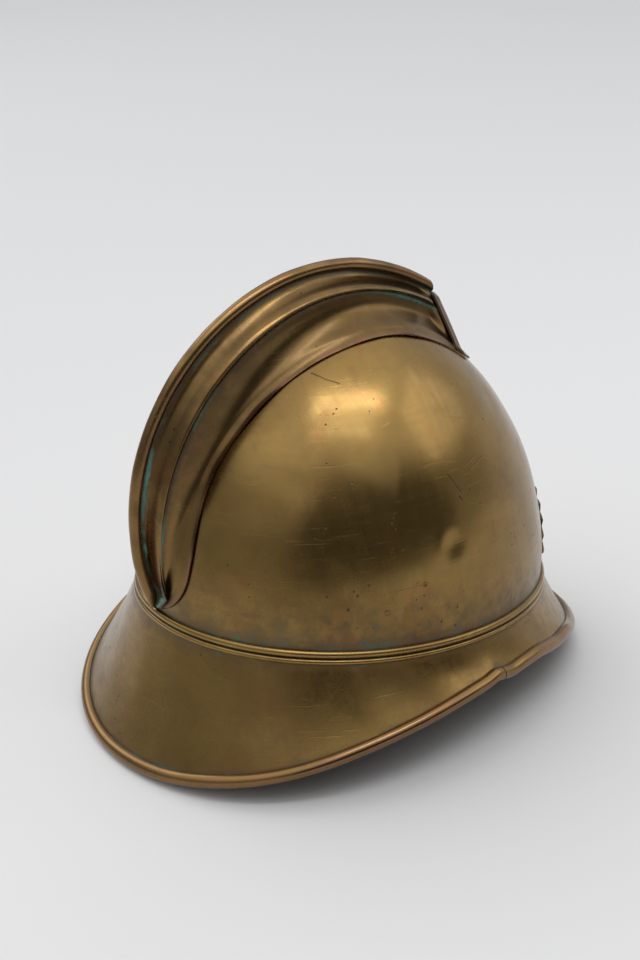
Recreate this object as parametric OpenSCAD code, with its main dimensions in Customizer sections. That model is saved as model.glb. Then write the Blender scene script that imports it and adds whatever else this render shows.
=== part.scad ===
// Brass firefighter's helmet: a raised dome with a double bead and a flared brim, a wired rolled edge,
// a tall pressed comb, a rayed front plate, a leather liner and an unfastened leather chin strap.
// The helmet stands on its brim, the front faces -Y, and the wearer's left side is +X.

/* [Dome] */
// Width of the dome at its foot
dome_w = 205; // [195:1:220]
// Length of the dome at its foot
dome_l = 242; // [230:1:255]
// Height of the dome above the bead
dome_h = 150; // [135:1:165]
// Fullness of the dome's curve, where 2 is an ellipse
dome_fullness = 1.85; // [1.75:0.05:2.1]
// Thickness of the brass sheet of the dome and brim
skull_sheet = 1; // [0.8:0.1:1.4]

/* [Bead] */
// Height of the double bead round the dome's foot
bead_h = 7.2; // [6:0.2:10]
// How far the bead stands out from the dome
bead_out = 2.3; // [1.6:0.1:3.5]
// Share of the bead's height that the upper, broader bead takes
bead_upper_share = 0.64; // [0.55:0.01:0.72]

/* [Brim] */
// Drop of the brim below the bead at the rear
brim_drop_rear = 68.5; // [50:0.5:80]
// Drop of the brim at the rear corners
brim_drop_rear_corner = 51; // [40:0.5:60]
// Drop of the brim at the sides
brim_drop_side = 19.5; // [14:0.5:28]
// Drop of the brim at the front corners
brim_drop_front_corner = 23; // [18:0.5:32]
// Drop of the brim at the front
brim_drop_front = 36; // [28:0.5:46]
// Outward run of the brim for each millimetre that it drops at the rear
brim_flare_rear = 0.38; // [0.3:0.01:0.5]
// Outward run for each millimetre of drop at the sides
brim_flare_side = 0.7; // [0.5:0.01:0.85]
// Outward run for each millimetre of drop at the front
brim_flare_front = 0.61; // [0.45:0.01:0.75]
// Hollow of the brim's slope halfway down
brim_hollow = 1.2; // [0:0.1:2.5]

/* [Rolled edge] */
// Outer radius of the rolled edge
roll_r = 3.8; // [3.2:0.1:5]
// Thickness of the strip that is rolled over the edge
roll_sheet = 1.1; // [0.8:0.1:1.4]
// Radius of the wire inside the roll
edge_wire_r = 2.1; // [1.6:0.1:2.6]
// Angle from the rear at which the rear and front strips meet on each side
roll_joint_angle = 101; // [85:1:120]
// Gap between the ends of the two strips
roll_joint_gap = 0.6; // [0.3:0.1:2]

/* [Comb] */
// Radius of the arc of the comb's crest
crest_r = 123; // [118:1:130]
// Distance of the crest arc's centre behind the dome's middle
crest_centre_y = 15; // [8:1:22]
// Height of the comb's crest above the top of the dome
comb_h = 29.8; // [24:0.2:36]
// Width of the comb across its flanges at the front
comb_front_w = 56; // [44:1:64]
// Width of the comb across its flanges at the waist
comb_waist_w = 36; // [30:1:44]
// Width of the comb across its flanges where they flare above the tail
comb_tail_w = 48; // [38:1:56]
// Width of the flange that lies on the dome
comb_flange = 5; // [3:0.5:8]
// Half thickness of the comb at the lower channel
comb_channel = 10.5; // [8:0.5:13]
// Half thickness of the comb at the pressed ridge
comb_ridge = 12; // [9:0.5:14]
// Half thickness of the comb at the upper channel
comb_neck = 3.4; // [2.6:0.2:5]
// Radius of the rolled crest strip
crest_roll_r = 3.5; // [3:0.1:4.5]
// Thickness of the comb's brass sheet
comb_sheet = 0.8; // [0.6:0.1:1]
// Thickness of the plate that closes the comb's front
comb_plate = 1.2; // [0.8:0.1:2]
// Length of the lip that the front plate turns onto the dome
comb_lip = 8; // [4:0.5:10]
// Width of the rim that the front plate turns back over the comb's sides
comb_rim = 4; // [2:0.5:6]
// Radius of the screws that hold the comb
comb_screw_r = 2.4; // [1.8:0.1:3]

/* [Front plate] */
// Radius of the rayed half disc over its ray tips
badge_r = 56; // [50:1:64]
// Depth of the notches between the rays
badge_notch = 5; // [3:0.5:10]
// Number of rays
badge_rays = 19; // [11:2:27]
// Height of the half disc's centre above the bead's foot
badge_z = 11; // [10:1:18]
// Thickness of the plate
badge_sheet = 1; // [0.8:0.1:2]
// Gap between the plate and the dome
badge_gap = 0.5; // [0.4:0.1:2]
// Radius of the plain boss
badge_boss_r = 15; // [10:1:20]
// Height of the plain boss
badge_boss_h = 6; // [3:0.5:9]
// Radius of the threaded studs behind the plate
badge_stud_r = 1.6; // [1.2:0.1:2]

/* [Liner] */
// Width of the head opening inside the sweatband
head_w = 160; // [150:1:166]
// Length of the head opening inside the sweatband
head_l = 198; // [186:1:206]
// Height of the leather sweatband
band_h = 46; // [36:1:55]
// Drop of the sweatband's lower edge below the bead's foot
band_drop = 8; // [2:1:12]
// Inward lean of the sweatband's upper edge
band_lean = 4; // [0:0.5:6]
// Thickness of the sweatband leather
band_leather = 2; // [1.4:0.1:2.4]
// Thickness of the tongue leather
tongue_leather = 1.2; // [1:0.1:1.6]
// Number of leather tongues
tongues = 8; // [6:1:8]
// Height of the crown of the tongues above the sweatband's lower edge
tongue_rise = 120; // [108:1:126]
// Fullness of the tongues' arch, where 2 is an ellipse
tongue_fullness = 2.5; // [2.3:0.05:2.7]
// Width of a tongue at its hemmed tip
tongue_tip_w = 10; // [8:1:14]
// Radius of the lace loop at the crown
lace_loop_r = 24; // [20:1:32]
// Radius of the lace
lace_r = 1.3; // [1:0.1:1.6]
// Height of the metal ring that carries the sweatband
ring_h = 14; // [10:1:18]
// Thickness of the metal ring
ring_sheet = 0.8; // [0.6:0.1:1.2]
// Width of the brackets that hold the ring to the skull
bracket_w = 12; // [8:1:16]
// Radius of the rivets that join the brackets to the ring
liner_rivet_r = 1.5; // [1.2:0.1:2]

/* [Chin strap] */
// Distance of the strap's pivot behind the dome's middle
pivot_y = 31; // [22:1:36]
// Height of the strap's pivot above the bead's foot
pivot_z = 33.5; // [28:0.5:38]
// Radius of the pivot post
post_r = 2.5; // [2:0.1:3]
// Distance between the two rivets of a lug
lug_rivet_span = 22; // [18:1:26]
// Radius of the lug rivets
lug_rivet_r = 1.2; // [0.9:0.1:1.6]
// Width of the lug plate
lug_w = 10; // [8:1:14]
// Thickness of the lug plate
lug_sheet = 1.2; // [1:0.1:1.6]
// Gap between the eyelet of a strap and its lug
strap_side_gap = 2; // [1.8:0.1:3]
// Depth of the strap from its pivots to the chin
strap_depth = 150; // [135:1:155]
// Width of the strap
strap_w = 16; // [12:1:18]
// Thickness of the strap leather
strap_leather = 2; // [1.6:0.1:2.2]
// Angle along the chin arc at which the short strap ends in its buckle
buckle_angle = 36; // [28:1:42]
// Length of the buckle between its two bars
buckle_l = 20; // [16:1:24]
// Radius of the buckle's wire
buckle_wire_r = 1.2; // [1:0.1:1.5]
// Number of punched holes in the long strap
strap_holes = 6; // [4:1:8]
// Distance between the punched holes
strap_hole_pitch = 11; // [9:1:13]

/* [Hidden] */
// Clearance between pieces that only lie beside each other
beside = 0.3;
// Radial clearance of a pin that turns in its hole
running = 0.06;
// Facets round the helmet, along the comb and round a small solid
around = 60;
dome_rows = 11;
skull_brim_rows = 4;
comb_rows = 26;
$fn = 32;

half_w = dome_w / 2;
half_l = dome_l / 2;
facet = 360 / around;
facet_angles = [for (k = [0 : around - 1]) (k + 0.5) * facet];

function smooth(x) = let (c = min(1, max(0, x))) c * c * (3 - 2 * c);
function mix(a, b, f) = a + (b - a) * f;

// The foot oval of the dome: angle a is 0 at the rear and 90 at the wearer's left
function oval_out(a) = let (n = [sin(a) / half_w, cos(a) / half_l]) n / norm(n);
function oval_at(a, u, z) =
  let (n = oval_out(a)) [half_w * sin(a) + n[0] * u, half_l * cos(a) + n[1] * u, z];

// The dome, with every surface a true offset "off" of the outer one
// Along its arch t runs from 0 at the foot over 90 at the top to 180 at the far foot
function share_at(t) = sign(cos(t)) * pow(abs(cos(t)), 2 / dome_fullness);
function rise_at(t) = pow(sin(t), 2 / dome_fullness);
function dome_at(a, t, off = 0) =
  [(half_w + off) * share_at(t) * sin(a), (half_l + off) * share_at(t) * cos(a), bead_h + (dome_h + off) * rise_at(t)];
function share_of_z(z, off = 0) =
  pow(1 - pow(max(0, z - bead_h) / (dome_h + off), dome_fullness), 1 / dome_fullness);
function dome_level(p, off) =
  let (r = norm([p[0] / (half_w + off), p[1] / (half_l + off)]), h = max(0, p[2] - bead_h) / (dome_h + off))
  pow(r, dome_fullness) + pow(h, dome_fullness);
function dome_normal(p) =
  let (
    r = max(0.001, norm([p[0] / half_w, p[1] / half_l])),
    k = pow(r, dome_fullness - 2),
    h = max(0, p[2] - bead_h) / dome_h,
    g = [k * p[0] / pow(half_w, 2), k * p[1] / pow(half_l, 2), pow(h, dome_fullness - 1) / dome_h]
  ) g / norm(g);
// Sideways place of the dome at a given length and height
function side_x(y, z, off = 0) =
  (half_w + off) * sqrt(pow(share_of_z(z, off), 2) - pow(y / (half_l + off), 2));
// Lengthways place of the dome's front at a given side place and height
function front_y(x, z, off = 0) =
  -(half_l + off) * sqrt(pow(share_of_z(z, off), 2) - pow(x / (half_w + off), 2));

// Solid through a list of closed rings of points, each with as many points as the next
// A ring that isn't flat is a band, one row of points and the same row back, with its ends closed in triangles
module loft(rings, closed = false, band = false) {
  n = len(rings[0]);
  m = len(rings);
  last = closed ? m - 1 : m - 2;
  walls = [
    for (i = [0 : last], j = [0 : n - 1])
      let (k = (i + 1) % m, l = (j + 1) % n)
        each [[i * n + l, i * n + j, k * n + l], [k * n + l, i * n + j, k * n + j]]
  ];
  flat_ends = [[for (j = [0 : n - 1]) j], [for (j = [n - 1 : -1 : 0]) (m - 1) * n + j]];
  band_ends = [
    for (j = [0 : n / 2 - 2])
      let (e = (m - 1) * n)
        each [
          [j, j + 1, n - 2 - j], [j, n - 2 - j, n - 1 - j],
          [e + j + 1, e + j, e + n - 2 - j], [e + n - 2 - j, e + j, e + n - 1 - j]
        ]
  ];
  ends = closed ? [] : band ? band_ends : flat_ends;
  polyhedron(points = [for (r = rings) each r], faces = concat(walls, ends), convexity = 10);
}

// Brim: the drop and the flare are smooth round the oval and pass through the given values
drop_mean = (brim_drop_rear + brim_drop_front) / 2;
drop_diff = (brim_drop_rear - brim_drop_front) / 2;
corner_mean = (brim_drop_rear_corner + brim_drop_front_corner) / 2;
corner_diff = (brim_drop_rear_corner - brim_drop_front_corner) / sqrt(2);
drop_0 = ((drop_mean + brim_drop_side) / 2 + corner_mean) / 2;
drop_1 = (drop_diff + corner_diff) / 2;
drop_2 = (drop_mean - brim_drop_side) / 2;
drop_3 = (drop_diff - corner_diff) / 2;
drop_4 = ((drop_mean + brim_drop_side) / 2 - corner_mean) / 2;
function brim_drop(a) =
  drop_0 + drop_1 * cos(a) + drop_2 * cos(2 * a) + drop_3 * cos(3 * a) + drop_4 * cos(4 * a);
flare_mean = (brim_flare_rear + brim_flare_front) / 4 + brim_flare_side / 2;
flare_1 = (brim_flare_rear - brim_flare_front) / 2;
flare_2 = (brim_flare_rear + brim_flare_front) / 4 - brim_flare_side / 2;
function brim_run(a) = (flare_mean + flare_1 * cos(a) + flare_2 * cos(2 * a)) * brim_drop(a);
function brim_length(a) = norm([brim_run(a), brim_drop(a)]);
brim_foot_u = bead_out - skull_sheet / 2;
// Middle of the brim's sheet, as [out, up], at share f of its slope
function brim_mid(a, f) =
  [brim_foot_u + brim_run(a) * f - brim_hollow * sin(180 * f), -brim_drop(a) * f];
function brim_face(a, f, side) =
  brim_mid(a, f) + [brim_drop(a), brim_run(a)] / brim_length(a) * side * skull_sheet / 2;

// Rolled edge: its centre line is the lower edge of the brim's middle surface
function edge_centre(a) = brim_mid(a, 1);
edge_stop = edge_wire_r + beside;
function brim_end(a) = 1 - edge_stop / brim_length(a);
// Ring of the roll's section, open where the brim's sheet enters it
roll_slot = skull_sheet / 2 + beside;
roll_bore = roll_r - roll_sheet;
function roll_section(a) =
  let (
    c = edge_centre(a),
    d = brim_mid(a, 1 - 1 / skull_brim_rows) - c,
    s = atan2(d[1], d[0]),
    o = asin(roll_slot / roll_r),
    i = asin(roll_slot / roll_bore)
  )
  [
    for (k = [0 : 9]) let (g = s + mix(o, 360 - o, k / 9)) c + roll_r * [cos(g), sin(g)],
    for (k = [7 : -1 : 0]) let (g = s + mix(i, 360 - i, k / 7)) c + roll_bore * [cos(g), sin(g)]
  ];
function roll_ring(a) = [for (p = roll_section(a)) oval_at(a, p[0], p[1])];

// Angles of the sections of each strip, at the skull's own facets, with one flat facet under the middle
roll_gap_angle = roll_joint_gap / 2 / half_l * 180 / PI;
function roll_angles(middle, half) =
  let (n = floor((half - 0.5) / facet + 0.5))
  [middle - half, for (k = [-n : n - 1]) middle + (k + 0.5) * facet, middle + half];
rear_angles = roll_angles(0, roll_joint_angle - roll_gap_angle);
front_angles = roll_angles(180, 180 - roll_joint_angle - roll_gap_angle);
// Rest pose: the helmet tips until the rear and the front of its rolled edge stand on the table
function strip_low(angles) = let (a = angles[len(angles) / 2]) oval_at(a, edge_centre(a)[0], edge_centre(a)[1]);
rear_low = strip_low(rear_angles);
front_low = strip_low(front_angles);
rest_tilt = atan((front_low[2] - rear_low[2]) / (rear_low[1] - front_low[1]));
function tipped(p) =
  [p[0], p[1] * cos(rest_tilt) - p[2] * sin(rest_tilt), p[1] * sin(rest_tilt) + p[2] * cos(rest_tilt)];
edge_points = [for (a = concat(rear_angles, front_angles)) each [for (p = roll_ring(a)) tipped(p)]];
rest_lift = -min([for (p = edge_points) p[2]]);
rest_shift = -(max([for (p = edge_points) p[1]]) + min([for (p = edge_points) p[1]])) / 2;
module at_rest() {
  translate([0, rest_shift, rest_lift]) rotate([rest_tilt, 0, 0]) children();
}
function rest_place(p) = tipped(p) + [0, rest_shift, rest_lift];

// Brass dome, double bead and brim in one sheet
groove_z = bead_h * (1 - bead_upper_share);
function bead_outer() = [
  for (g = [90 : -35 : -50])
    [bead_out * (0.15 + 0.95 * cos(g)), mix(groove_z, bead_h, 0.5 + 0.5 * sin(g))],
  [bead_out * 0.45, groove_z],
  for (g = [50 : -35 : -20])
    [bead_out * (0.45 + 0.65 * cos(g)), groove_z * (0.45 + 0.55 * sin(g))]
];
function bead_inner() = [
  [0 - skull_sheet, bead_h],
  [bead_out * 0.95 - skull_sheet, mix(groove_z, bead_h, 0.5)],
  [bead_out * 0.8 - skull_sheet, groove_z]
];
function skull_ring(a_list, kind, k) = [
  for (a = a_list)
    kind == "outer dome" ? dome_at(a, k) :
    kind == "inner dome" ? dome_at(a, k, -skull_sheet) :
    kind == "bead" ? oval_at(a, k[0], k[1]) :
    let (f = k[0] * brim_end(a), p = brim_face(a, f, k[1])) oval_at(a, p[0], p[1])
];
top_angle = 86;
comb_screw_angles = [32, 72, 104];
badge_stud_places = [[0, badge_z + badge_r * 0.68], [-badge_r * 0.62, badge_z + 10], [badge_r * 0.62, badge_z + 10]];

module skull() {
  angles = facet_angles;
  rings = concat(
    [for (k = [dome_rows : -1 : 1]) skull_ring(angles, "outer dome", top_angle * k / dome_rows)],
    [for (p = bead_outer()) skull_ring(angles, "bead", p)],
    [for (k = [0 : skull_brim_rows]) skull_ring(angles, "brim", [k / skull_brim_rows, 1])],
    [for (k = [skull_brim_rows : -1 : 0]) skull_ring(angles, "brim", [k / skull_brim_rows, -1])],
    [for (k = [2 : -1 : 0]) skull_ring(angles, "bead", bead_inner()[k])],
    [for (k = [1 : dome_rows]) skull_ring(angles, "inner dome", top_angle * k / dome_rows)]
  );
  color([0.62, 0.48, 0.2]) at_rest() difference() {
    loft(rings);
    for (a = comb_screw_angles) on_ridge(a) cylinder(r = comb_screw_r + 0.2, h = 4 * skull_sheet, center = true);
    for (p = badge_stud_places) on_front(p) cylinder(r = badge_stud_r + 0.2, h = 4 * skull_sheet, center = true);
    for (side = [-1, 1], end = [-1, 1]) on_lug_rivet(side, end)
      cylinder(r = lug_rivet_r + 0.05, h = 8 * skull_sheet, center = true);
  }
}

// Frames on the dome, with +Z along the outward normal
function turn_to(n) = [0, acos(n[2] / norm(n)), atan2(n[1], n[0])];
module on_ridge(t) {
  p = dome_at(0, t);
  n = dome_normal(p);
  translate(p) rotate([-atan2(n[1], n[2]), 0, 0]) children();
}
module on_front(p) {
  q = [p[0], front_y(p[0], p[1]), p[1]];
  translate(q) rotate(turn_to(dome_normal(q))) children();
}
lug_slant = atan2(-13, 18);
function lug_rivet_place(side, end) =
  let (
    y = pivot_y + end * lug_rivet_span / 2 * cos(lug_slant),
    z = pivot_z + end * lug_rivet_span / 2 * sin(lug_slant)
  ) [side * side_x(y, z), y, z];
module on_lug_rivet(side, end) {
  q = lug_rivet_place(side, end);
  translate(q) rotate(turn_to(dome_normal(q))) children();
}

// Wire inside the rolled edge
module edge_wire() {
  sides = 8;
  color([0.35, 0.33, 0.31]) at_rest() loft([
    for (a = facet_angles)
      let (c = edge_centre(a))
        [for (j = [0 : sides - 1]) let (g = j * 360 / sides) oval_at(a, c[0] + edge_wire_r * cos(g), c[1] + edge_wire_r * sin(g))]
  ], closed = true);
}

// Strips rolled over the edge
module edge_roll_rear() {
  color([0.6, 0.44, 0.2]) at_rest() loft([for (a = rear_angles) roll_ring(a)]);
}
module edge_roll_front() {
  color([0.6, 0.46, 0.2]) at_rest() loft([for (a = front_angles) roll_ring(a)]);
}

// Comb: each station joins a foot on the dome's ridge to a point of the crest arc
comb_foot_tail = 1.5;
comb_foot_top = 85;
comb_foot_front = 118;
crest_centre_z = bead_h + dome_h + comb_h - crest_r;
crest_angle_tail = -27;
crest_angle_top = 92.2;
crest_angle_front = 120.4;
function comb_foot_angle(k) = mix(comb_foot_tail, comb_foot_front, pow(k / comb_rows, 1.2));
function crest_angle(t) =
  t < comb_foot_top ?
    mix(crest_angle_tail, crest_angle_top, (t - comb_foot_tail) / (comb_foot_top - comb_foot_tail)) :
    mix(crest_angle_top, crest_angle_front, (t - comb_foot_top) / (comb_foot_front - comb_foot_top));
function crest_at(t) =
  [0, crest_centre_y + crest_r * cos(crest_angle(t)), crest_centre_z + crest_r * sin(crest_angle(t))];
function comb_rise(t) = norm(crest_at(t) - dome_at(0, t));
function comb_way(t) = (crest_at(t) - dome_at(0, t)) / comb_rise(t);
// Half width over the flanges: wide at the front, a waist, a flare, and a rounded point at the tail
comb_waist_angle = 34;
comb_wide_angle = 86;
comb_flare_angle = 12;
function comb_edge(t) =
  t > comb_waist_angle ?
    mix(comb_waist_w, comb_front_w, smooth((t - comb_waist_angle) / (comb_wide_angle - comb_waist_angle))) / 2 :
  t > comb_flare_angle ?
    mix(comb_tail_w, comb_waist_w, smooth((t - comb_flare_angle) / (comb_waist_angle - comb_flare_angle))) / 2 :
    let (f = (comb_flare_angle - t) / (comb_flare_angle - comb_foot_tail * 0.7))
      comb_tail_w / 2 * sqrt(max(0, 1 - f * f));
// Height of the dome's surface, along the station, at a sideways distance x from the ridge
function ground(t, x, off, low = -0.3 * half_w, high = 0.06 * half_w, n = 18) =
  let (h = (low + high) / 2)
  n == 0 ? h :
  dome_level(dome_at(0, t) + comb_way(t) * h + [x, 0, 0], off) > 1 ?
    ground(t, x, off, low, h, n - 1) : ground(t, x, off, h, high, n - 1);
function crest_roll_radius(t) = min(crest_roll_r, 0.4 * comb_rise(t));
function comb_wall_h(t) = comb_rise(t) - 2 * crest_roll_radius(t);
// Outer face of one side as [share of the wall's height, half thickness], from the flange to the crest
function comb_side(t) =
  let (
    e = comb_edge(t),
    s = min(1, 2 * e / comb_waist_w),
    f = min(comb_flange, e / 3),
    foot = e - f,
    low = min(comb_channel * s, foot * 0.8)
  )
  [
    [0, e], [0, foot], [0.1, mix(low, foot, 0.5)], [0.25, mix(low, foot, 0.15)], [0.47, low],
    [0.6, low * 1.03], [0.68, comb_ridge * s], [0.74, comb_ridge * 0.95 * s], [0.79, comb_ridge * 0.67 * s],
    [0.85, comb_neck * 1.4 * s], [0.93, comb_neck * 0.8 * s], [1, comb_slot(t) - 0.1]
  ];
function comb_slot(t) = comb_sheet + min(beside, 0.1 * crest_roll_radius(t));
function comb_face(t, grow = 0) =
  let (base = ground(t, comb_edge(t) - comb_flange, 0) + beside + comb_sheet)
  [
    for (p = comb_side(t))
      let (g = ground(t, p[1], 0) + beside + comb_sheet, w = max(comb_wall_h(t), base + 1))
        [p[1] + grow, mix(g, w, p[0])]
  ];
function comb_section(t) =
  let (o = comb_face(t), n = len(o), top = comb_wall_h(t) + crest_roll_radius(t) * 0.9)
  [
    each o, [o[n - 1][0], top],
    [0.1, top],
    for (k = [n - 1 : -1 : 2]) [max(0.1, o[k][0] - comb_sheet), o[k][1] - (k < 5 ? comb_sheet * 0.5 : 0)],
    [o[1][0] - comb_sheet * 0.4, ground(t, o[1][0], 0) + beside], [o[0][0], ground(t, o[0][0], 0) + beside]
  ];
function comb_place(t, p) = dome_at(0, t) + comb_way(t) * p[1] + [p[0], 0, 0];
module comb_half() {
  loft([for (k = [0 : comb_rows]) let (t = comb_foot_angle(k)) [for (p = comb_section(t)) comb_place(t, p)]]);
}
module comb_half_left() {
  color([0.55, 0.38, 0.2]) at_rest() comb_half();
}
module comb_half_right() {
  color([0.55, 0.38, 0.2]) at_rest() mirror([1, 0, 0]) comb_half();
}

// Strip rolled over the upper edges of both halves
module comb_crest_roll() {
  color([0.6, 0.42, 0.22]) at_rest() loft([
    for (k = [0 : comb_rows])
      let (
        t = comb_foot_angle(k),
        r = crest_roll_radius(t),
        b = r * 0.7,
        c = comb_rise(t) - r,
        o = asin((comb_slot(t) + 0.15) / r),
        i = asin((comb_slot(t) + 0.15) / b)
      )
      [
        for (j = [0 : 8]) let (g = -90 + mix(o, 360 - o, j / 8)) comb_place(t, [r * cos(g), c + r * sin(g)]),
        for (j = [6 : -1 : 0]) let (g = -90 + mix(i, 360 - i, j / 6)) comb_place(t, [b * cos(g), c + b * sin(g)])
      ]
  ]);
}

// Plate that closes the comb's front, with a lip turned onto the dome
function plate_point(share, x, lift) =
  let (t = comb_foot_front, w = comb_way(t), h = mix(ground(t, x, 0) + comb_sheet, comb_wall_h(t) - 0.5, share))
  dome_at(0, t) + w * h + [x, 0, 0] + [0, -w[2], w[1]] * lift;
function lip_point(along, x, lift) =
  let (
    t = comb_foot_front,
    q = dome_at(0, t) + comb_way(t) * ground(t, x, 0) + [x, 0, 0],
    n = dome_normal(q),
    down = [0, -n[2], n[1]] / norm([n[2], n[1]])
  ) q + down * along + n * lift;
module comb_front_plate() {
  side = comb_side(comb_foot_front);
  wide = side[0][1] - 1;
  columns = [for (j = [-4 : 4]) j / 4];
  back = [for (j = [4 : -1 : -4]) j / 4];
  color([0.52, 0.38, 0.2]) at_rest() {
    loft([
      for (k = [len(side) - 1 : -1 : 1])
        concat(
          [for (c = columns) plate_point(side[k][0], c * (side[k][1] + rim_out), 0.05)],
          [for (c = back) plate_point(side[k][0], c * (side[k][1] + rim_out), 0.05 + comb_plate)]
        ),
      for (along = [1.5, comb_lip])
        concat(
          [for (c = columns) lip_point(along, c * wide, beside)],
          [for (c = back) lip_point(along, c * wide, beside + comb_plate)]
        )
    ], band = true);
    comb_front_rim();
    mirror([1, 0, 0]) comb_front_rim();
  }
}
// Rim that the plate turns back over one side's end
rim_in = 2 * beside;
rim_out = rim_in + comb_sheet;
rim_step = comb_rim / half_l * 180 / PI;
module comb_front_rim() {
  n = len(comb_side(comb_foot_front));
  loft([
    for (k = [0 : 3])
      let (t = comb_foot_front - rim_step * (1 - k / 3), lift = k == 3 ? comb_plate / 2 : 0, o = comb_face(t))
      concat(
        [for (j = [2 : n - 3]) rim_point(t, o[j], rim_out, lift)],
        [for (j = [n - 3 : -1 : 2]) rim_point(t, o[j], rim_in, lift)]
      )
  ], band = true);
}
function rim_point(t, p, grow, lift) =
  let (w = comb_way(t)) comb_place(t, [p[0] + grow, p[1]]) + [0, -w[2], w[1]] * lift;

// Screws that draw the comb onto the skull: a saddle inside the comb, a washer and a nut under the crown
saddle_h = 3.4;
saddle_t = 2;
module comb_saddles() {
  color([0.5, 0.38, 0.2]) at_rest() for (t = comb_screw_angles) on_ridge(t) difference() {
    translate([0, 0, saddle_h + saddle_t / 2])
      cube([2 * (comb_side(t)[3][1] - comb_sheet - 2.2), 14, saddle_t], center = true);
    cylinder(r = comb_screw_r + beside, h = 30, center = true);
  }
}
nut_h = 4;
washer_h = 1;
washer_r = 2.6 * comb_screw_r;
// The washer is flat and the dome isn't, so its rim comes closest
washer_gap = 0.7;
module comb_screws() {
  color([0.45, 0.43, 0.4]) at_rest() for (t = comb_screw_angles) on_ridge(t) {
    bottom = -skull_sheet - washer_gap - washer_h - nut_h - 2.5;
    translate([0, 0, bottom]) cylinder(r = comb_screw_r, h = saddle_h + saddle_t + beside - bottom);
    translate([0, 0, saddle_h + saddle_t + beside]) cylinder(r = 1.8 * comb_screw_r, h = 2.4);
  }
}
module comb_washers() {
  color([0.5, 0.48, 0.44]) at_rest() for (t = comb_screw_angles) on_ridge(t)
    translate([0, 0, -skull_sheet - washer_gap - washer_h]) difference() {
      cylinder(r = washer_r, h = washer_h);
      translate([0, 0, -1]) cylinder(r = comb_screw_r + beside, h = washer_h + 2);
    }
}
module comb_nuts() {
  color([0.45, 0.43, 0.4]) at_rest() for (t = comb_screw_angles) on_ridge(t)
    translate([0, 0, -skull_sheet - washer_gap - washer_h - nut_h - 0.05]) difference() {
      cylinder(r = 2 * comb_screw_r, h = nut_h, $fn = 6);
      translate([0, 0, -1]) cylinder(r = comb_screw_r + 0.05, h = nut_h + 2);
    }
}

// Part of a layer that follows the dome, between two offsets from its outer face
module dome_layer(a0, a1, steps, t0, t1, rows, low, high) {
  loft([
    for (k = [0 : steps])
      let (a = mix(a0, a1, k / steps))
      concat(
        [for (j = [0 : rows]) dome_at(a, mix(t0, t1, j / rows), high)],
        [for (j = [rows : -1 : 0]) dome_at(a, mix(t0, t1, j / rows), low)]
      )
  ], band = true);
}

// Rayed half disc on the front, pressed to the dome, with a plain boss
badge_spread = asin((badge_r + 8) / half_w);
function badge_outline() = concat(
  [
    for (k = [0 : badge_rays - 1])
      let (a = 180 / badge_rays * (k + 0.5), b = 180 / badge_rays * (k + 1))
        each [badge_r * [cos(a), sin(a)], if (k < badge_rays - 1) (badge_r - badge_notch) * [cos(b), sin(b)]]
  ],
  [[-(badge_r - badge_notch), 0], [badge_r - badge_notch, 0]]
);
badge_ball_r = (pow(badge_boss_r, 2) + pow(badge_boss_h, 2)) / 2 / badge_boss_h;
module badge_plate() {
  color([0.34, 0.28, 0.18]) at_rest() {
    intersection() {
      dome_layer(180 - badge_spread, 180 + badge_spread, 20, 1, 48, 12, badge_gap, badge_gap + badge_sheet);
      translate([0, 0, badge_z]) rotate([90, 0, 0]) linear_extrude(height = 2 * half_l) polygon(badge_outline());
    }
    on_front([0, badge_z + badge_boss_r + 3]) translate([0, 0, badge_gap + badge_sheet / 2]) intersection() {
      translate([0, 0, badge_boss_h - badge_ball_r]) sphere(r = badge_ball_r);
      cylinder(r = 2 * badge_boss_r, h = 2 * badge_boss_h);
    }
  }
}
module badge_studs() {
  color([0.45, 0.38, 0.25]) at_rest() for (p = badge_stud_places) on_front(p)
    translate([0, 0, -skull_sheet - beside - nut_h]) cylinder(r = badge_stud_r, h = skull_sheet + nut_h + badge_gap);
}
module badge_nuts() {
  color([0.45, 0.38, 0.25]) at_rest() for (p = badge_stud_places) on_front(p)
    translate([0, 0, -skull_sheet - 1 - nut_h / 2]) difference() {
      cylinder(r = 2 * badge_stud_r, h = nut_h / 2, $fn = 6);
      translate([0, 0, -1]) cylinder(r = badge_stud_r + 0.05, h = nut_h);
    }
}

// Liner: an oval metal ring on brackets, the leather sweatband inside it and the tongues that rise from it
band_z = -band_drop;
tongue_face = band_leather + 1.5 * beside;
ring_face = tongue_face + tongue_leather + beside;
ring_z = -2;
function liner_at(a, off, z) = [(head_w / 2 + off) * sin(a), (head_l / 2 + off) * cos(a), z];
module liner_ring() {
  color([0.6, 0.5, 0.28]) at_rest() difference() {
    loft([
      for (k = [0 : 47])
        let (a = k * 7.5)
        [
          liner_at(a, ring_face, ring_z), liner_at(a, ring_face + ring_sheet, ring_z),
          liner_at(a, ring_face + ring_sheet, ring_z + ring_h), liner_at(a, ring_face, ring_z + ring_h)
        ]
    ], closed = true);
    for (a = bracket_angles) on_oval(a) translate([ring_u(a), rivet_z, 0])
      rotate([0, 90, 0]) cylinder(r = liner_rivet_r + 0.05, h = 8, center = true);
  }
}
module sweatband() {
  color([0.33, 0.2, 0.11]) at_rest() loft([
    for (k = [0 : 71])
      let (a = k * 5)
      [
        liner_at(a, 0, band_z), liner_at(a, band_leather, band_z),
        liner_at(a, band_leather, tongue_base_z), liner_at(a, band_leather - band_lean, band_z + band_h),
        liner_at(a, -band_lean, band_z + band_h), liner_at(a, 0, tongue_base_z)
      ]
  ], closed = true);
}

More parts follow.
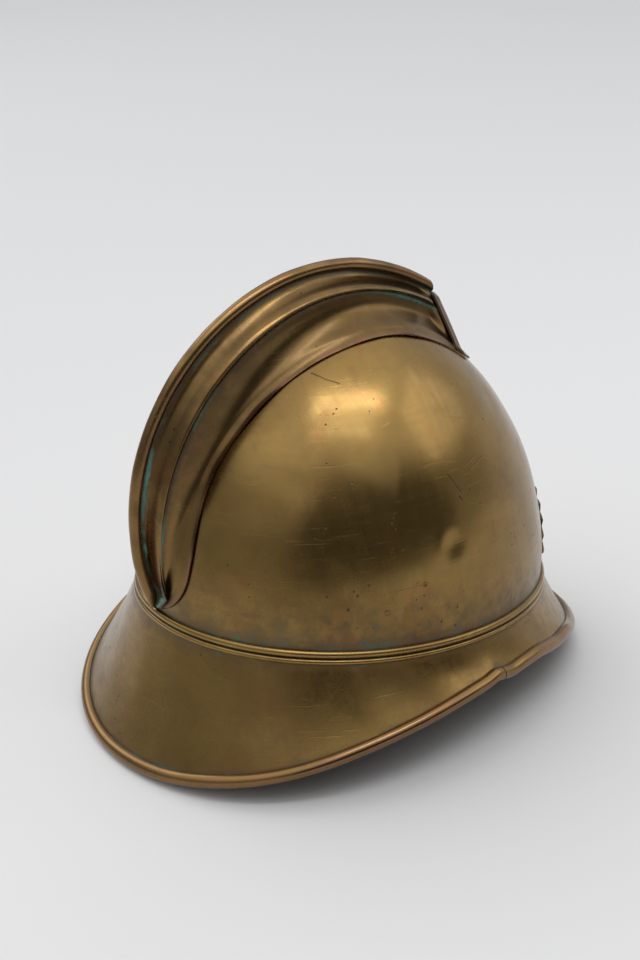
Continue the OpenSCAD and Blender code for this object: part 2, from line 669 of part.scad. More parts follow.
// Tongues: the base is sewn between sweatband and ring, the tip is hemmed round the lace
tongue_base_z = ring_z + 1;
tongue_power = 2 / tongue_fullness;
tip_share = lace_loop_r / (head_l / 2);
tip_angle = acos(pow(tip_share, 1 / tongue_power));
tip_z = tongue_base_z + tongue_rise * pow(sin(tip_angle), tongue_power);
hem_bore = lace_r + 0.5;
hem_r = hem_bore + tongue_leather;
function tongue_point(a, t, off) =
  let (
    f = smooth(t / tip_angle),
    w = mix(head_w / 2 + tongue_face, lace_loop_r / tip_share, f) + off,
    l = mix(head_l / 2 + tongue_face, lace_loop_r / tip_share, f) + off
  )
  [
    w * pow(cos(t), tongue_power) * sin(a),
    l * pow(cos(t), tongue_power) * cos(a),
    tongue_base_z + (tongue_rise + off) * pow(sin(t), tongue_power)
  ];
module tongue(n) {
  middle = (n - 0.5) * 360 / tongues;
  stop = tip_angle - (hem_r - tongue_leather / 2) / (0.56 * head_l) * 180 / PI;
  function spread(t) = mix(180 / tongues - 1.5, 11.5, smooth(t / stop) * 0.75) * (1 - 0.1 * sin(t));
  color([0.42, 0.27, 0.15]) at_rest() {
    loft([
      for (k = [0 : 7])
        let (t = stop * k / 7, s = spread(t))
        concat(
          [for (j = [-3 : 3]) tongue_point(middle + s * j / 3, t, 0)],
          [for (j = [3 : -1 : -3]) tongue_point(middle + s * j / 3, t, tongue_leather)]
        )
    ], band = true);
    translate([lace_loop_r * sin(middle), lace_loop_r * cos(middle), tip_z]) rotate([0, 90, -middle])
      difference() {
        cylinder(r = hem_r, h = tongue_tip_w, center = true);
        cylinder(r = hem_bore, h = tongue_tip_w + 2, center = true);
      }
  }
}
module crown_lace() {
  color([0.7, 0.62, 0.48]) at_rest() {
    translate([0, 0, tip_z]) rotate_extrude($fn = 48) translate([lace_loop_r, 0]) circle(r = lace_r, $fn = 16);
    translate([0, lace_loop_r, tip_z]) rotate([0, 90, 0]) cylinder(r = 2.2 * lace_r, h = 4.6 * lace_r, center = true);
    for (side = [-1, 1])
      translate([0, lace_loop_r, tip_z]) rotate([180 + 15, 25 * side, 0]) cylinder(r = lace_r, h = 9 * lace_r, $fn = 16);
  }
}

// Brackets soldered inside the skull, and the rivets that hold the ring to them
bracket_angles = [0, 40, 140, 180, 220, 320];
bracket_sheet = 1.2;
bracket_top = 26;
bracket_bend = 15;
rivet_z = ring_z + ring_h / 2;
function ring_u(a) =
  let (
    p = oval_at(a, 0, 0), n = oval_out(a),
    w = head_w / 2 + ring_face + ring_sheet, l = head_l / 2 + ring_face + ring_sheet,
    qa = pow(n[0] / w, 2) + pow(n[1] / l, 2),
    qb = p[0] * n[0] / w / w + p[1] * n[1] / l / l,
    qc = pow(p[0] / w, 2) + pow(p[1] / l, 2) - 1
  ) (-qb + sqrt(qb * qb - qa * qc)) / qa;
function wall_u(a, z) =
  let (p = oval_at(a, 0, 0), n = oval_out(a)) -skull_sheet - (1 - share_of_z(z)) * (p[0] * n[0] + p[1] * n[1]);
// Frame at an angle round the oval, with X outward, Y up and Z along the oval
module on_oval(a) {
  n = oval_out(a);
  translate(oval_at(a, 0, 0)) rotate([0, 0, atan2(n[1], n[0])]) rotate([90, 0, 0]) children();
}
module liner_brackets() {
  color([0.5, 0.42, 0.26]) at_rest() for (a = bracket_angles) on_oval(a) difference() {
    s = bracket_sheet;
    hi = wall_u(a, bracket_top) - 2 * beside;
    lo = wall_u(a, bracket_bend) - 2 * beside;
    r = ring_u(a) + beside;
    linear_extrude(height = bracket_w, center = true) polygon([
      [hi, bracket_top], [lo, bracket_bend], [lo, bracket_bend - s], [r + s, bracket_bend - s], [r + s, ring_z],
      [r, ring_z], [r, bracket_bend], [lo - s, bracket_bend], [hi - s, bracket_top]
    ]);
    translate([0, rivet_z, 0]) rotate([0, 90, 0]) cylinder(r = liner_rivet_r + 0.05, h = 100, center = true);
  }
}
module liner_rivets() {
  color([0.62, 0.5, 0.3]) at_rest() for (a = bracket_angles) on_oval(a)
    translate([ring_u(a), rivet_z, 0]) rotate([0, 90, 0]) {
      translate([0, 0, -ring_sheet]) cylinder(r = liner_rivet_r, h = ring_sheet + beside + bracket_sheet + 0.5);
      translate([0, 0, beside + bracket_sheet + 0.05]) cylinder(r1 = 2 * liner_rivet_r, r2 = liner_rivet_r, h = 1.2);
    }
}

// Chin strap: lugs with a post on each side, and a long and a short strap that swing on the posts
lug_gap = 0.5;
lug_inner = -skull_sheet - lug_gap;
eyelet_rim = 0.45;
strap_out = side_x(pivot_y, pivot_z) + lug_inner - lug_sheet - strap_side_gap - eyelet_rim;
strap_in = strap_out - strap_leather;
strap_leg = strap_depth - strap_out;
post_head_h = 1.6;
post_inner_x = strap_in - 0.8 - post_head_h;
eyelet_wall = 1;
eyelet_bore = post_r + running;
module strap_lug() {
  q = lug_rivet_place(1, 0);
  difference() {
    union() {
      intersection() {
        dome_layer(45, 105, 10, 2, 32, 6, lug_inner - lug_sheet, lug_inner);
        translate([0, pivot_y, pivot_z]) rotate([lug_slant, 0, 0]) rotate([90, 0, 90])
          linear_extrude(height = dome_w) union() {
            square([lug_rivet_span, lug_w], center = true);
            for (end = [-1, 1]) translate([end * lug_rivet_span / 2, 0]) circle(r = lug_w / 2);
          }
      }
      translate([post_inner_x, pivot_y, pivot_z]) rotate([0, 90, 0])
        cylinder(r = post_r, h = q[0] + lug_inner - lug_sheet / 2 - post_inner_x);
      translate([post_inner_x, pivot_y, pivot_z]) rotate([0, 90, 0])
        cylinder(r = 1.8 * post_r, h = post_head_h);
    }
    for (end = [-1, 1]) on_lug_rivet(1, end) cylinder(r = lug_rivet_r + 0.05, h = 12, center = true);
  }
}
module strap_lug_left() {
  color([0.6, 0.48, 0.26]) at_rest() strap_lug();
}
module strap_lug_right() {
  color([0.6, 0.48, 0.26]) at_rest() mirror([1, 0, 0]) strap_lug();
}
module lug_rivets() {
  color([0.6, 0.46, 0.22]) at_rest() for (side = [-1, 1], end = [-1, 1]) on_lug_rivet(side, end)
    translate([0, 0, lug_inner - lug_sheet - beside - 0.35]) {
      cylinder(r = lug_rivet_r, h = -lug_inner + lug_sheet + beside + 0.55);
      cylinder(r = 1.7 * lug_rivet_r, h = 0.35);
    }
}

// Each strap leans forward from its pivot until it lies on the table
pivot = rest_place([0, pivot_y, pivot_z]);
function lean(reach, half) =
  asin((pivot[2] - beside) / norm([reach, half])) - atan(half / reach);
long_strap_lean = lean(strap_depth, strap_w / 2);
buckle_half = strap_w / 2 + 1.2 + 2 * buckle_wire_r;
bar_r = strap_in + strap_leather / 2;
far_angle = buckle_angle + 2 * asin(buckle_l / 2 / bar_r);
short_strap_lean = lean(strap_leg + (bar_r + buckle_wire_r) * sin(far_angle), buckle_half);
module on_strap(lean_angle) {
  translate(pivot) rotate([180 + lean_angle, 0, 0]) children();
}
// Place on the chin arc, as [sideways, down the strap], at an angle from the leg
function arc_at(angle, r) = [r * cos(angle), strap_leg + r * sin(angle)];
// Strap as a flat outline seen along its width: a leg from the pivot and an arc under the chin
module strap_body(stop) {
  steps = ceil(stop / 5);
  linear_extrude(height = strap_w, center = true) polygon(concat(
    [[strap_out, 0]], [for (k = [0 : steps]) arc_at(stop * k / steps, strap_out)],
    [for (k = [steps : -1 : 0]) arc_at(stop * k / steps, strap_in)], [[strap_in, 0]]
  ));
  translate([strap_in, 0, 0]) rotate([0, 90, 0]) cylinder(r = strap_w / 2, h = strap_leather);
}
module strap_pivot_hole() {
  rotate([0, 90, 0]) cylinder(r = eyelet_bore + eyelet_wall + 0.05, h = strap_out + 10);
}
long_strap_stop = 180 - far_angle - 8;
module long_strap() {
  color([0.3, 0.18, 0.1]) on_strap(long_strap_lean) mirror([1, 0, 0]) difference() {
    strap_body(long_strap_stop);
    strap_pivot_hole();
    for (k = [1 : strap_holes]) {
      a = long_strap_stop - (k + 0.4) * strap_hole_pitch / bar_r * 180 / PI;
      translate([0, strap_leg, 0]) rotate([0, 90, a]) translate([0, 0, strap_in - 5]) cylinder(r = 1.6, h = 12);
    }
  }
}
module short_strap() {
  loop_r = buckle_wire_r + beside + 1.4;
  bar = arc_at(buckle_angle, bar_r);
  color([0.3, 0.18, 0.1]) on_strap(short_strap_lean) difference() {
    union() {
      strap_body(buckle_angle - 1);
      translate([bar[0], bar[1], 0]) cylinder(r = loop_r, h = strap_w, center = true);
    }
    strap_pivot_hole();
    translate([bar[0], bar[1], 0]) cylinder(r = buckle_wire_r + beside, h = 2 * strap_w, center = true);
    translate([bar[0], bar[1], 0]) rotate([0, 0, buckle_angle]) cube([4 * loop_r, 3.2 * loop_r, prong_w + 1.4], center = true);
  }
}
module strap_eyelet() {
  rotate([0, 90, 0]) difference() {
    union() {
      translate([0, 0, strap_in - 0.5]) cylinder(r = eyelet_bore + eyelet_wall, h = strap_leather + 1);
      for (x = [strap_in - 0.05 - eyelet_rim, strap_out + 0.05])
        translate([0, 0, x]) cylinder(r = eyelet_bore + 2.4 * eyelet_wall, h = eyelet_rim);
    }
    translate([0, 0, strap_in - 5]) cylinder(r = eyelet_bore, h = 20);
  }
}
module long_strap_eyelet() {
  color([0.6, 0.48, 0.24]) on_strap(long_strap_lean) mirror([1, 0, 0]) strap_eyelet();
}
module short_strap_eyelet() {
  color([0.6, 0.48, 0.24]) on_strap(short_strap_lean) strap_eyelet();
}

// Buckle: a wire frame with a loose prong, and a leather keeper that slides on the short strap
prong_w = 3;
prong_r = 1;
module on_buckle() {
  bar = arc_at(buckle_angle, bar_r);
  far = arc_at(far_angle, bar_r);
  translate([bar[0], bar[1], 0]) rotate([0, 0, atan2(far[1] - bar[1], far[0] - bar[0])]) children();
}
module buckle_frame() {
  w = buckle_half - buckle_wire_r;
  color([0.55, 0.45, 0.25]) on_strap(short_strap_lean) on_buckle() {
    for (x = [0, buckle_l]) translate([x, 0, 0]) cylinder(r = buckle_wire_r, h = 2 * w, center = true);
    for (z = [-w, w]) {
      translate([0, 0, z]) rotate([0, 90, 0]) cylinder(r = buckle_wire_r, h = buckle_l);
      for (x = [0, buckle_l]) translate([x, 0, z]) sphere(r = buckle_wire_r);
    }
  }
}
prong_lift = buckle_wire_r + prong_r + 0.15;
module buckle_prong() {
  color([0.5, 0.44, 0.3]) on_strap(short_strap_lean) on_buckle() difference() {
    union() {
      cylinder(r = buckle_wire_r + running + 1.2, h = prong_w, center = true);
      translate([0, -prong_lift, 0]) rotate([0, 90, 0]) cylinder(r = prong_r, h = buckle_l + 2);
      translate([buckle_l + 2, -prong_lift, 0]) sphere(r = prong_r);
    }
    cylinder(r = buckle_wire_r + running, h = 2 * prong_w, center = true);
  }
}
keeper_place = 26;
keeper_l = 8;
keeper_leather = 1.4;
module strap_keeper() {
  gap = 0.35;
  tail_room = strap_leather + 0.4;
  color([0.28, 0.17, 0.1]) on_strap(short_strap_lean) translate([0, keeper_place, 0]) difference() {
    translate([strap_in - gap - tail_room - keeper_leather, -keeper_l / 2, -strap_w / 2 - gap - keeper_leather])
      cube([strap_leather + 2 * gap + tail_room + 2 * keeper_leather, keeper_l, strap_w + 2 * (gap + keeper_leather)]);
    translate([strap_in - gap - tail_room, -keeper_l, -strap_w / 2 - gap])
      cube([strap_leather + 2 * gap + tail_room, 2 * keeper_l, strap_w + 2 * gap]);
  }
}

skull();
edge_wire();
edge_roll_rear();
edge_roll_front();
comb_half_right();
comb_half_left();
comb_crest_roll();
comb_front_plate();
comb_saddles();
comb_screws();
comb_washers();
comb_nuts();
badge_plate();
badge_studs();
badge_nuts();
liner_ring();
liner_brackets();
liner_rivets();
sweatband();
crown_lace();
for (n = [1 : tongues])
  tongue(n);
strap_lug_right();
strap_lug_left();
lug_rivets();
long_strap();
long_strap_eyelet();
short_strap();
short_strap_eyelet();
buckle_frame();
buckle_prong();
strap_keeper();
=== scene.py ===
"""Looks of a brass firefighter helmet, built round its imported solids.

Every length is in metres. The helmet faces -Y, +X is the wearer's left, and it stands on its brim at z = 0.
"""

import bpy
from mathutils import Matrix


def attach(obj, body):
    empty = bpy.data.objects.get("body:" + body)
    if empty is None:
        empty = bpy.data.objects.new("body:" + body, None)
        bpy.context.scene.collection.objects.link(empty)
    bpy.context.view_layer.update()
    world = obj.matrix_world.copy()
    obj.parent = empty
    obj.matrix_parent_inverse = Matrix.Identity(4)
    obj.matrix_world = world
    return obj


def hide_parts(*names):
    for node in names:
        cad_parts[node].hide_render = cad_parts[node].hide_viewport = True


bl_info = {
    "name": "Brass firefighter helmet",
    "version": (1, 0, 0),
    "blender": (4, 5, 0),
    "location": "View3D > Sidebar > Helmet",
    "description": "Builds the brass, leather and cord of a firefighter helmet round its packed solids",
    "category": "Object",
}

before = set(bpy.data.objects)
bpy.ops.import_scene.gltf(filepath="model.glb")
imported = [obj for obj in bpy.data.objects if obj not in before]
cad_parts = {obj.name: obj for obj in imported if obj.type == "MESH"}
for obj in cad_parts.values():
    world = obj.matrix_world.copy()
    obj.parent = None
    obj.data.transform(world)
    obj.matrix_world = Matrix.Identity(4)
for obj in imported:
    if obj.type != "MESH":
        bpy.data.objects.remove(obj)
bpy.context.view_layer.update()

import math

import bpy
import numpy as np
from bpy.props import FloatProperty, FloatVectorProperty, IntProperty, PointerProperty
from mathutils import Matrix, Vector


# Sizes and colours that a user would change


def length(name, default, description):
    return FloatProperty(name=name, description=description, default=default, unit="LENGTH", precision=4)


def share(name, default, description):
    return FloatProperty(name=name, description=description, default=default, min=0, subtype="FACTOR")


def colour(name, default, description):
    return FloatVectorProperty(name=name, description=description, default=default, subtype="COLOR", min=0, max=1)


class HelmetSizes(bpy.types.PropertyGroup):
    """Sizes of the brass, the liner and the chin strap"""

    dome_width: length("Dome width", 0.205, "Width of the dome at its foot")
    dome_length: length("Dome length", 0.242, "Length of the dome at its foot")
    dome_height: length("Dome height", 0.150, "Height of the dome above the bead")
    dome_fullness: FloatProperty(
        name="Dome fullness", description="Fullness of the dome's curve, where 2 is an ellipse", default=1.85
    )
    skull_sheet: length("Skull sheet", 0.001, "Thickness of the brass of the dome and brim")
    wave_height: length("Hammer waves", 0.00016, "Height of the soft waves left in the raised sheet")
    dent_depth: length("Dent depth", 0.0008, "Depth of the round dent on the right side")
    bead_height: length("Bead height", 0.0072, "Height of the double bead")
    bead_out: length("Bead stand-out", 0.0023, "How far the bead stands out from the dome")
    drop_rear: length("Rear drop", 0.0685, "Drop of the brim at the rear")
    drop_rear_corner: length("Rear corner drop", 0.051, "Drop of the brim at the rear corners")
    drop_side: length("Side drop", 0.0195, "Drop of the brim at the sides")
    drop_front_corner: length("Front corner drop", 0.023, "Drop of the brim at the front corners")
    drop_front: length("Front drop", 0.036, "Drop of the brim at the front")
    flare_rear: share("Rear flare", 0.38, "Outward run of the brim per unit of drop at the rear")
    flare_side: share("Side flare", 0.7, "Outward run of the brim per unit of drop at the sides")
    flare_front: share("Front flare", 0.61, "Outward run of the brim per unit of drop at the front")
    brim_hollow: length("Brim hollow", 0.0012, "Hollow of the brim's slope halfway down")
    edge_wobble: length("Edge wobble", 0.0007, "Height of the waves along the bent edge")
    roll_radius: length("Rolled edge radius", 0.0038, "Outer radius of the rolled edge")
    roll_sheet: length("Rolled edge sheet", 0.0011, "Thickness of the strip rolled over the edge")
    roll_joint: FloatProperty(
        name="Roll joint", description="Angle from the rear at which the strips meet", default=101.0
    )
    roll_gap: length("Roll gap", 0.0006, "Gap between the ends of the two strips")
    crest_radius: length("Crest radius", 0.123, "Radius of the arc of the comb's crest")
    crest_back: length("Crest centre", 0.015, "Distance of the crest arc's centre behind the dome's middle")
    comb_height: length("Comb height", 0.0298, "Height of the crest above the top of the dome")
    comb_front: length("Comb width in front", 0.056, "Width of the comb across its flanges at the front")
    comb_waist: length("Comb waist", 0.036, "Width of the comb across its flanges at the waist")
    comb_tail: length("Comb tail", 0.048, "Width of the comb across its flanges above the tail")
    comb_flange: length("Comb flange", 0.005, "Width of the flange on the dome")
    comb_channel: length("Comb channel", 0.0105, "Half thickness of the comb at its lower channel")
    comb_ridge: length("Comb ridge", 0.012, "Half thickness of the comb at its pressed ridge")
    comb_neck: length("Comb neck", 0.0034, "Half thickness of the comb at its upper channel")
    comb_sheet: length("Comb sheet", 0.0008, "Thickness of the comb's brass")
    crest_roll: length("Crest roll radius", 0.0035, "Radius of the rolled crest strip")
    plate_sheet: length("Front plate of the comb", 0.0012, "Thickness of the plate that closes the comb")
    plate_lip: length("Plate lip", 0.008, "Length of the lip turned onto the dome")
    plate_rim: length("Plate rim", 0.004, "Width of the rim turned back over the comb's sides")
    badge_radius: length("Rayed plate radius", 0.056, "Radius of the rayed half disc over its tips")
    badge_notch: length("Ray notch", 0.005, "Depth of the notches between the rays")
    badge_rays: IntProperty(name="Rays", description="Number of rays", default=19)
    badge_place: length("Rayed plate height", 0.011, "Height of the half disc's centre")
    badge_sheet: length("Rayed plate sheet", 0.001, "Thickness of the rayed plate")
    badge_gap: length("Rayed plate gap", 0.0005, "Gap between the rayed plate and the dome")
    ray_relief: length("Ray relief", 0.0011, "Height of the ridge along each ray")
    boss_radius: length("Boss radius", 0.015, "Radius of the plain boss")
    boss_height: length("Boss height", 0.006, "Height of the plain boss")
    head_width: length("Head width", 0.160, "Width of the head opening")
    head_length: length("Head length", 0.198, "Length of the head opening")
    band_height: length("Band height", 0.046, "Height of the sweatband")
    band_drop: length("Band drop", 0.008, "Drop of the sweatband below the bead's foot")
    band_lean: length("Band lean", 0.004, "Inward lean of the sweatband's upper edge")
    band_leather: length("Band leather", 0.002, "Thickness of the sweatband")
    tongue_leather: length("Tongue leather", 0.0012, "Thickness of the tongues")
    tongues: IntProperty(name="Tongues", description="Number of leather tongues", default=8)
    tongue_rise: length("Tongue rise", 0.120, "Height of the arch of the tongues")
    tongue_fullness: FloatProperty(
        name="Tongue fullness", description="Fullness of the arch, where 2 is an ellipse", default=2.5
    )
    tongue_tip: length("Tongue tip", 0.010, "Width of a tongue at its hem")
    lace_loop: length("Lace loop", 0.024, "Radius of the lace loop at the crown")
    lace_radius: length("Lace radius", 0.0013, "Radius of the lace")
    pivot_back: length("Strap pivot", 0.031, "Distance of the strap's pivot behind the dome's middle")
    pivot_height: length("Pivot height", 0.0335, "Height of the strap's pivot")
    strap_depth: length("Strap depth", 0.150, "Depth of the strap from its pivots to the chin")
    strap_width: length("Strap width", 0.016, "Width of the strap")
    strap_leather: length("Strap leather", 0.002, "Thickness of the strap")
    strap_holes: IntProperty(name="Strap holes", description="Number of punched holes", default=6)
    hole_pitch: length("Hole pitch", 0.011, "Distance between the punched holes")
    stitch_length: length("Stitch length", 0.0032, "Length of a stitch")


class HelmetColours(bpy.types.PropertyGroup):
    """Colours of the finishes"""

    brass: colour("Brass", (0.262, 0.163, 0.047), "Aged olive brass of the dome")
    brass_dull: colour("Dull brass", (0.21, 0.126, 0.036), "Duller patches of the dome")
    brass_stain: colour("Stain", (0.10, 0.05, 0.02), "Brown stains and dark spots")
    comb_brass: colour("Comb brass", (0.200, 0.118, 0.037), "Browner brass of the comb")
    copper: colour("Copper tone", (0.27, 0.115, 0.08), "Pink tone where the zinc has gone")
    edge_brass: colour("Edge brass", (0.158, 0.095, 0.034), "Brass of the rolled edge")
    verdigris: colour("Verdigris", (0.10, 0.30, 0.23), "Green crust in the crevices")
    steel: colour("Steel", (0.32, 0.30, 0.28), "Steel of the screws")
    iron: colour("Iron", (0.13, 0.11, 0.10), "Iron of the edge wire")
    liner: colour("Liner leather", (0.115, 0.052, 0.022), "Leather of the sweatband")
    tongue: colour("Tongue leather", (0.19, 0.095, 0.042), "Leather of the tongues")
    strap: colour("Strap leather", (0.075, 0.034, 0.016), "Leather of the chin strap")
    thread: colour("Thread", (0.42, 0.33, 0.2), "Waxed sewing thread")
    lace: colour("Lace", (0.50, 0.40, 0.26), "Cotton lace at the crown")
    floor: colour("Floor", (0.83, 0.83, 0.835), "Pale table and backdrop")


def sizes():
    return bpy.context.scene.helmet_sizes


def colours():
    return bpy.context.scene.helmet_colours


# Shape of the helmet, as it stands upright with the bead's foot at z = 0

BESIDE = 0.0003  # between pieces that lie side by side
SLOT_PLAY = 0.00022  # between a sheet and the roll that it enters
REST_TILT = math.radians(6.325196)
REST_LIFT = 0.055368155
REST_SHIFT = -0.007793481


def stand(points):
    """Tips the upright helmet back onto its rear brim, the way it stands on the table."""
    points = np.asarray(points, float)
    x, y, z = points[..., 0], points[..., 1], points[..., 2]
    c, s = math.cos(REST_TILT), math.sin(REST_TILT)
    return np.stack([x, y * c - z * s + REST_SHIFT, y * s + z * c + REST_LIFT], -1)


def right_joint():
    """Angle at which the two strips of the edge meet on the right side."""
    return 360 - sizes().roll_joint


def smooth(x):
    x = np.clip(x, 0, 1)
    return x * x * (3 - 2 * x)


def mix(a, b, f):
    return a + (b - a) * f


def bump(x, middle, reach):
    """A soft hill of height 1 at the middle."""
    return np.exp(-(((x - middle) / reach) ** 2))


def hills(x, *rows):
    """Sum of soft hills, each given as its height, middle and reach."""
    return sum(height * bump(x, middle, reach) for height, middle, reach in rows)


def oval(angle, out, up):
    """Points round the dome's foot: 0 degrees is the rear and 90 the wearer's left."""
    s = sizes()
    a = np.radians(angle)
    half_w, half_l = s.dome_width / 2, s.dome_length / 2
    nx, ny = np.sin(a) / half_w, np.cos(a) / half_l
    n = np.hypot(nx, ny)
    x, y = half_w * np.sin(a) + nx / n * out, half_l * np.cos(a) + ny / n * out
    return np.stack(np.broadcast_arrays(x, y, up), -1)


def dome(angle, arch, off=0.0):
    """Points of the dome: arch is 0 degrees at the foot and 90 at the top."""
    s = sizes()
    a, t = np.radians(angle), np.radians(arch)
    flat = np.sign(np.cos(t)) * np.abs(np.cos(t)) ** (2 / s.dome_fullness)
    rise = np.clip(np.sin(t), 0, 1) ** (2 / s.dome_fullness)
    x = (s.dome_width / 2 + off) * flat * np.sin(a)
    y = (s.dome_length / 2 + off) * flat * np.cos(a)
    return np.stack(np.broadcast_arrays(x, y, s.bead_height + (s.dome_height + off) * rise), -1)


def dome_level(p, off=0.0):
    s = sizes()
    r = np.hypot(p[..., 0] / (s.dome_width / 2 + off), p[..., 1] / (s.dome_length / 2 + off))
    h = np.maximum(0, p[..., 2] - s.bead_height) / (s.dome_height + off)
    return r**s.dome_fullness + h**s.dome_fullness


def dome_normal(p):
    s = sizes()
    half_w, half_l = s.dome_width / 2, s.dome_length / 2
    r = np.maximum(0.001, np.hypot(p[..., 0] / half_w, p[..., 1] / half_l))
    k = r ** (s.dome_fullness - 2)
    h = np.maximum(0, p[..., 2] - s.bead_height) / s.dome_height
    g = np.stack([k * p[..., 0] / half_w**2, k * p[..., 1] / half_l**2, h ** (s.dome_fullness - 1) / s.dome_height], -1)
    return g / np.linalg.norm(g, axis=-1, keepdims=True)


def dome_side(y, z):
    """Half width of the dome at a length and height."""
    s = sizes()
    around = (1 - (max(0, z - s.bead_height) / s.dome_height) ** s.dome_fullness) ** (1 / s.dome_fullness)
    return s.dome_width / 2 * math.sqrt(around**2 - (y / (s.dome_length / 2)) ** 2)


def dome_front(x, z, off):
    """Place of the dome's front, at a side place and height, for a surface off outside it."""
    s = sizes()
    h = np.clip(z - s.bead_height, 0, None) / (s.dome_height + off)
    around = (1 - h**s.dome_fullness) ** (1 / s.dome_fullness)
    return -(s.dome_length / 2 + off) * np.sqrt(np.clip(around**2 - (x / (s.dome_width / 2 + off)) ** 2, 0.01, None))


HAMMER_WAVES = ((8, 0.042, 0.34), (6, 0.019, 0.1))  # how many, their span and share of the wave height
DENT = (-0.0953, -0.0008, 0.0565)
DENT_REACH, DENT_RIM, DENT_RIM_REACH, DENT_RIM_SHARE = 0.0058, 0.0088, 0.0024, 0.42
FOLD = ((-0.0680, 0.0190, 0.1110), (-0.0850, 0.0300, 0.0755))
FOLD_HEIGHT, FOLD_REACH = 0.00012, 0.0028
DINGS = [
    ((-0.0890, 0.0600, 0.0350), 0.0055, 0.00035),
    ((-0.0600, 0.0750, 0.0900), 0.0070, 0.00040),
    ((-0.0900, -0.0300, 0.0300), 0.0060, 0.00035),
    ((-0.0480, -0.0550, 0.1150), 0.0075, 0.00040),
    ((0.0800, 0.0500, 0.0650), 0.0090, 0.00060),
    ((0.0650, -0.0500, 0.0900), 0.0080, 0.00050),
    ((0.0350, 0.0900, 0.0800), 0.0070, 0.00045),
    ((-0.0300, 0.1050, 0.0550), 0.0080, 0.00040),
]


def hammering(p):
    """How far the sheet stands out of the true dome: soft waves, small dings, the round dent and a fold."""
    s = sizes()
    turns = np.random.default_rng(7)
    rise = np.zeros(p.shape[:-1])
    for count, span, height in HAMMER_WAVES:
        for _ in range(count):
            way = turns.normal(size=3)
            way /= np.linalg.norm(way)
            rise += height * np.sin(p @ way * 2 * math.pi / span + turns.uniform(0, 6.3))
    rise *= s.wave_height
    for place, reach, depth in DINGS:
        rise -= depth * bump(np.linalg.norm(p - np.array(place), axis=-1), 0, reach)
    to_dent = p - np.array(DENT)
    r = np.linalg.norm(to_dent, axis=-1)
    rim_side = 0.55 + 0.45 * np.clip(to_dent[..., 1] / np.maximum(r, 1e-6), -1, 1)
    rise += s.dent_depth * (DENT_RIM_SHARE * rim_side * bump(r, DENT_RIM, DENT_RIM_REACH) - bump(r, 0, DENT_REACH))
    fold = np.array(FOLD[1]) - np.array(FOLD[0])
    to_fold = p - np.array(FOLD[0])
    across = np.cross(fold, dome_normal(np.array(FOLD).mean(0)))
    along = to_fold @ fold / (fold @ fold)
    ridge = FOLD_HEIGHT * bump(to_fold @ across / np.linalg.norm(across), 0, FOLD_REACH)
    rise += ridge * smooth(3 * along + 0.4) * smooth(3.4 - 3 * along)
    return rise * smooth((p[..., 2] - s.bead_height) / 0.008)


def brim_waves():
    """Terms of the smooth curve that the brim's drop follows round the helmet."""
    s = sizes()
    mean, diff = (s.drop_rear + s.drop_front) / 2, (s.drop_rear - s.drop_front) / 2
    corner = (s.drop_rear_corner + s.drop_front_corner) / 2
    corner_diff = (s.drop_rear_corner - s.drop_front_corner) / math.sqrt(2)
    middle = (mean + s.drop_side) / 2
    odd = (diff + corner_diff) / 2, (diff - corner_diff) / 2
    return [(middle + corner) / 2, odd[0], (mean - s.drop_side) / 2, odd[1], (middle - corner) / 2]


def brim_drop(angle):
    return sum(w * np.cos(np.radians(k * angle)) for k, w in enumerate(brim_waves()))


def brim_run(angle):
    s = sizes()
    mean = (s.flare_rear + s.flare_front) / 4 + s.flare_side / 2
    first, second = (s.flare_rear - s.flare_front) / 2, (s.flare_rear + s.flare_front) / 4 - s.flare_side / 2
    return (mean + first * np.cos(np.radians(angle)) + second * np.cos(np.radians(2 * angle))) * brim_drop(angle)


# Height of each kink of the bent edge in wobbles, its angle from the right joint, and its reach
EDGE_KINKS = ((1.9, 2.2, 2.2), (-1.5, -4, 3), (1.3, -15, 4), (-1.2, -26, 4), (0.9, -36, 4))


def edge_bend(angle):
    """How far the edge is bent up or down by use: level at the rear and the front, where the helmet stands."""
    s = sizes()
    angle = np.mod(angle, 360)
    calm = np.clip(np.minimum(np.minimum(angle, 360 - angle), np.abs(angle - 180)) / 25, 0, 1)
    wave = 0.5 * np.sin(np.radians(angle * 5 + 30)) + 0.35 * np.sin(np.radians(angle * 11 + 80))
    return s.edge_wobble * smooth(calm) * (wave + hills(angle - right_joint(), *EDGE_KINKS))


def brim_middle(angle, f):
    """Middle of the brim's sheet at share f of its slope, as how far out and how high."""
    s = sizes()
    foot = s.bead_out - s.skull_sheet / 2
    out = foot + brim_run(angle) * f - s.brim_hollow * np.sin(np.pi * f)
    return out, -brim_drop(angle) * f + edge_bend(angle) * f * f


def brim_face(angle, f, side):
    s = sizes()
    out, up = brim_middle(angle, f)
    slope = np.hypot(brim_run(angle), brim_drop(angle))
    half = side * s.skull_sheet / 2
    waves = np.sin(np.radians(9 * angle)) + 0.7 * np.sin(np.radians(23 * angle) + 5 * f)
    ripple = s.wave_height * np.sin(np.pi * f) * waves
    return out + brim_drop(angle) / slope * (half + ripple), up + brim_run(angle) / slope * (half + ripple)


# Shape of the comb: each station t, in degrees along the ridge, joins its foot on the dome to the crest

FOOT_TAIL, FOOT_TOP, FOOT_FRONT = 1.5, 85.0, 118.0
CREST_TAIL, CREST_TOP, CREST_FRONT = -27.0, 92.2, 120.4
CREST_WAVE = 0.0004
CREST_WAVES = [
    0.5, 1.0, 0.9, -0.2, -0.5, -0.6, -0.5, -0.6, -0.7, -0.6, -0.4, -0.5,
    -0.2, 0.0, 0.4, 0.8, 0.8, 0.7, 0.8, 0.0, -0.4, -0.7, -0.6,
]


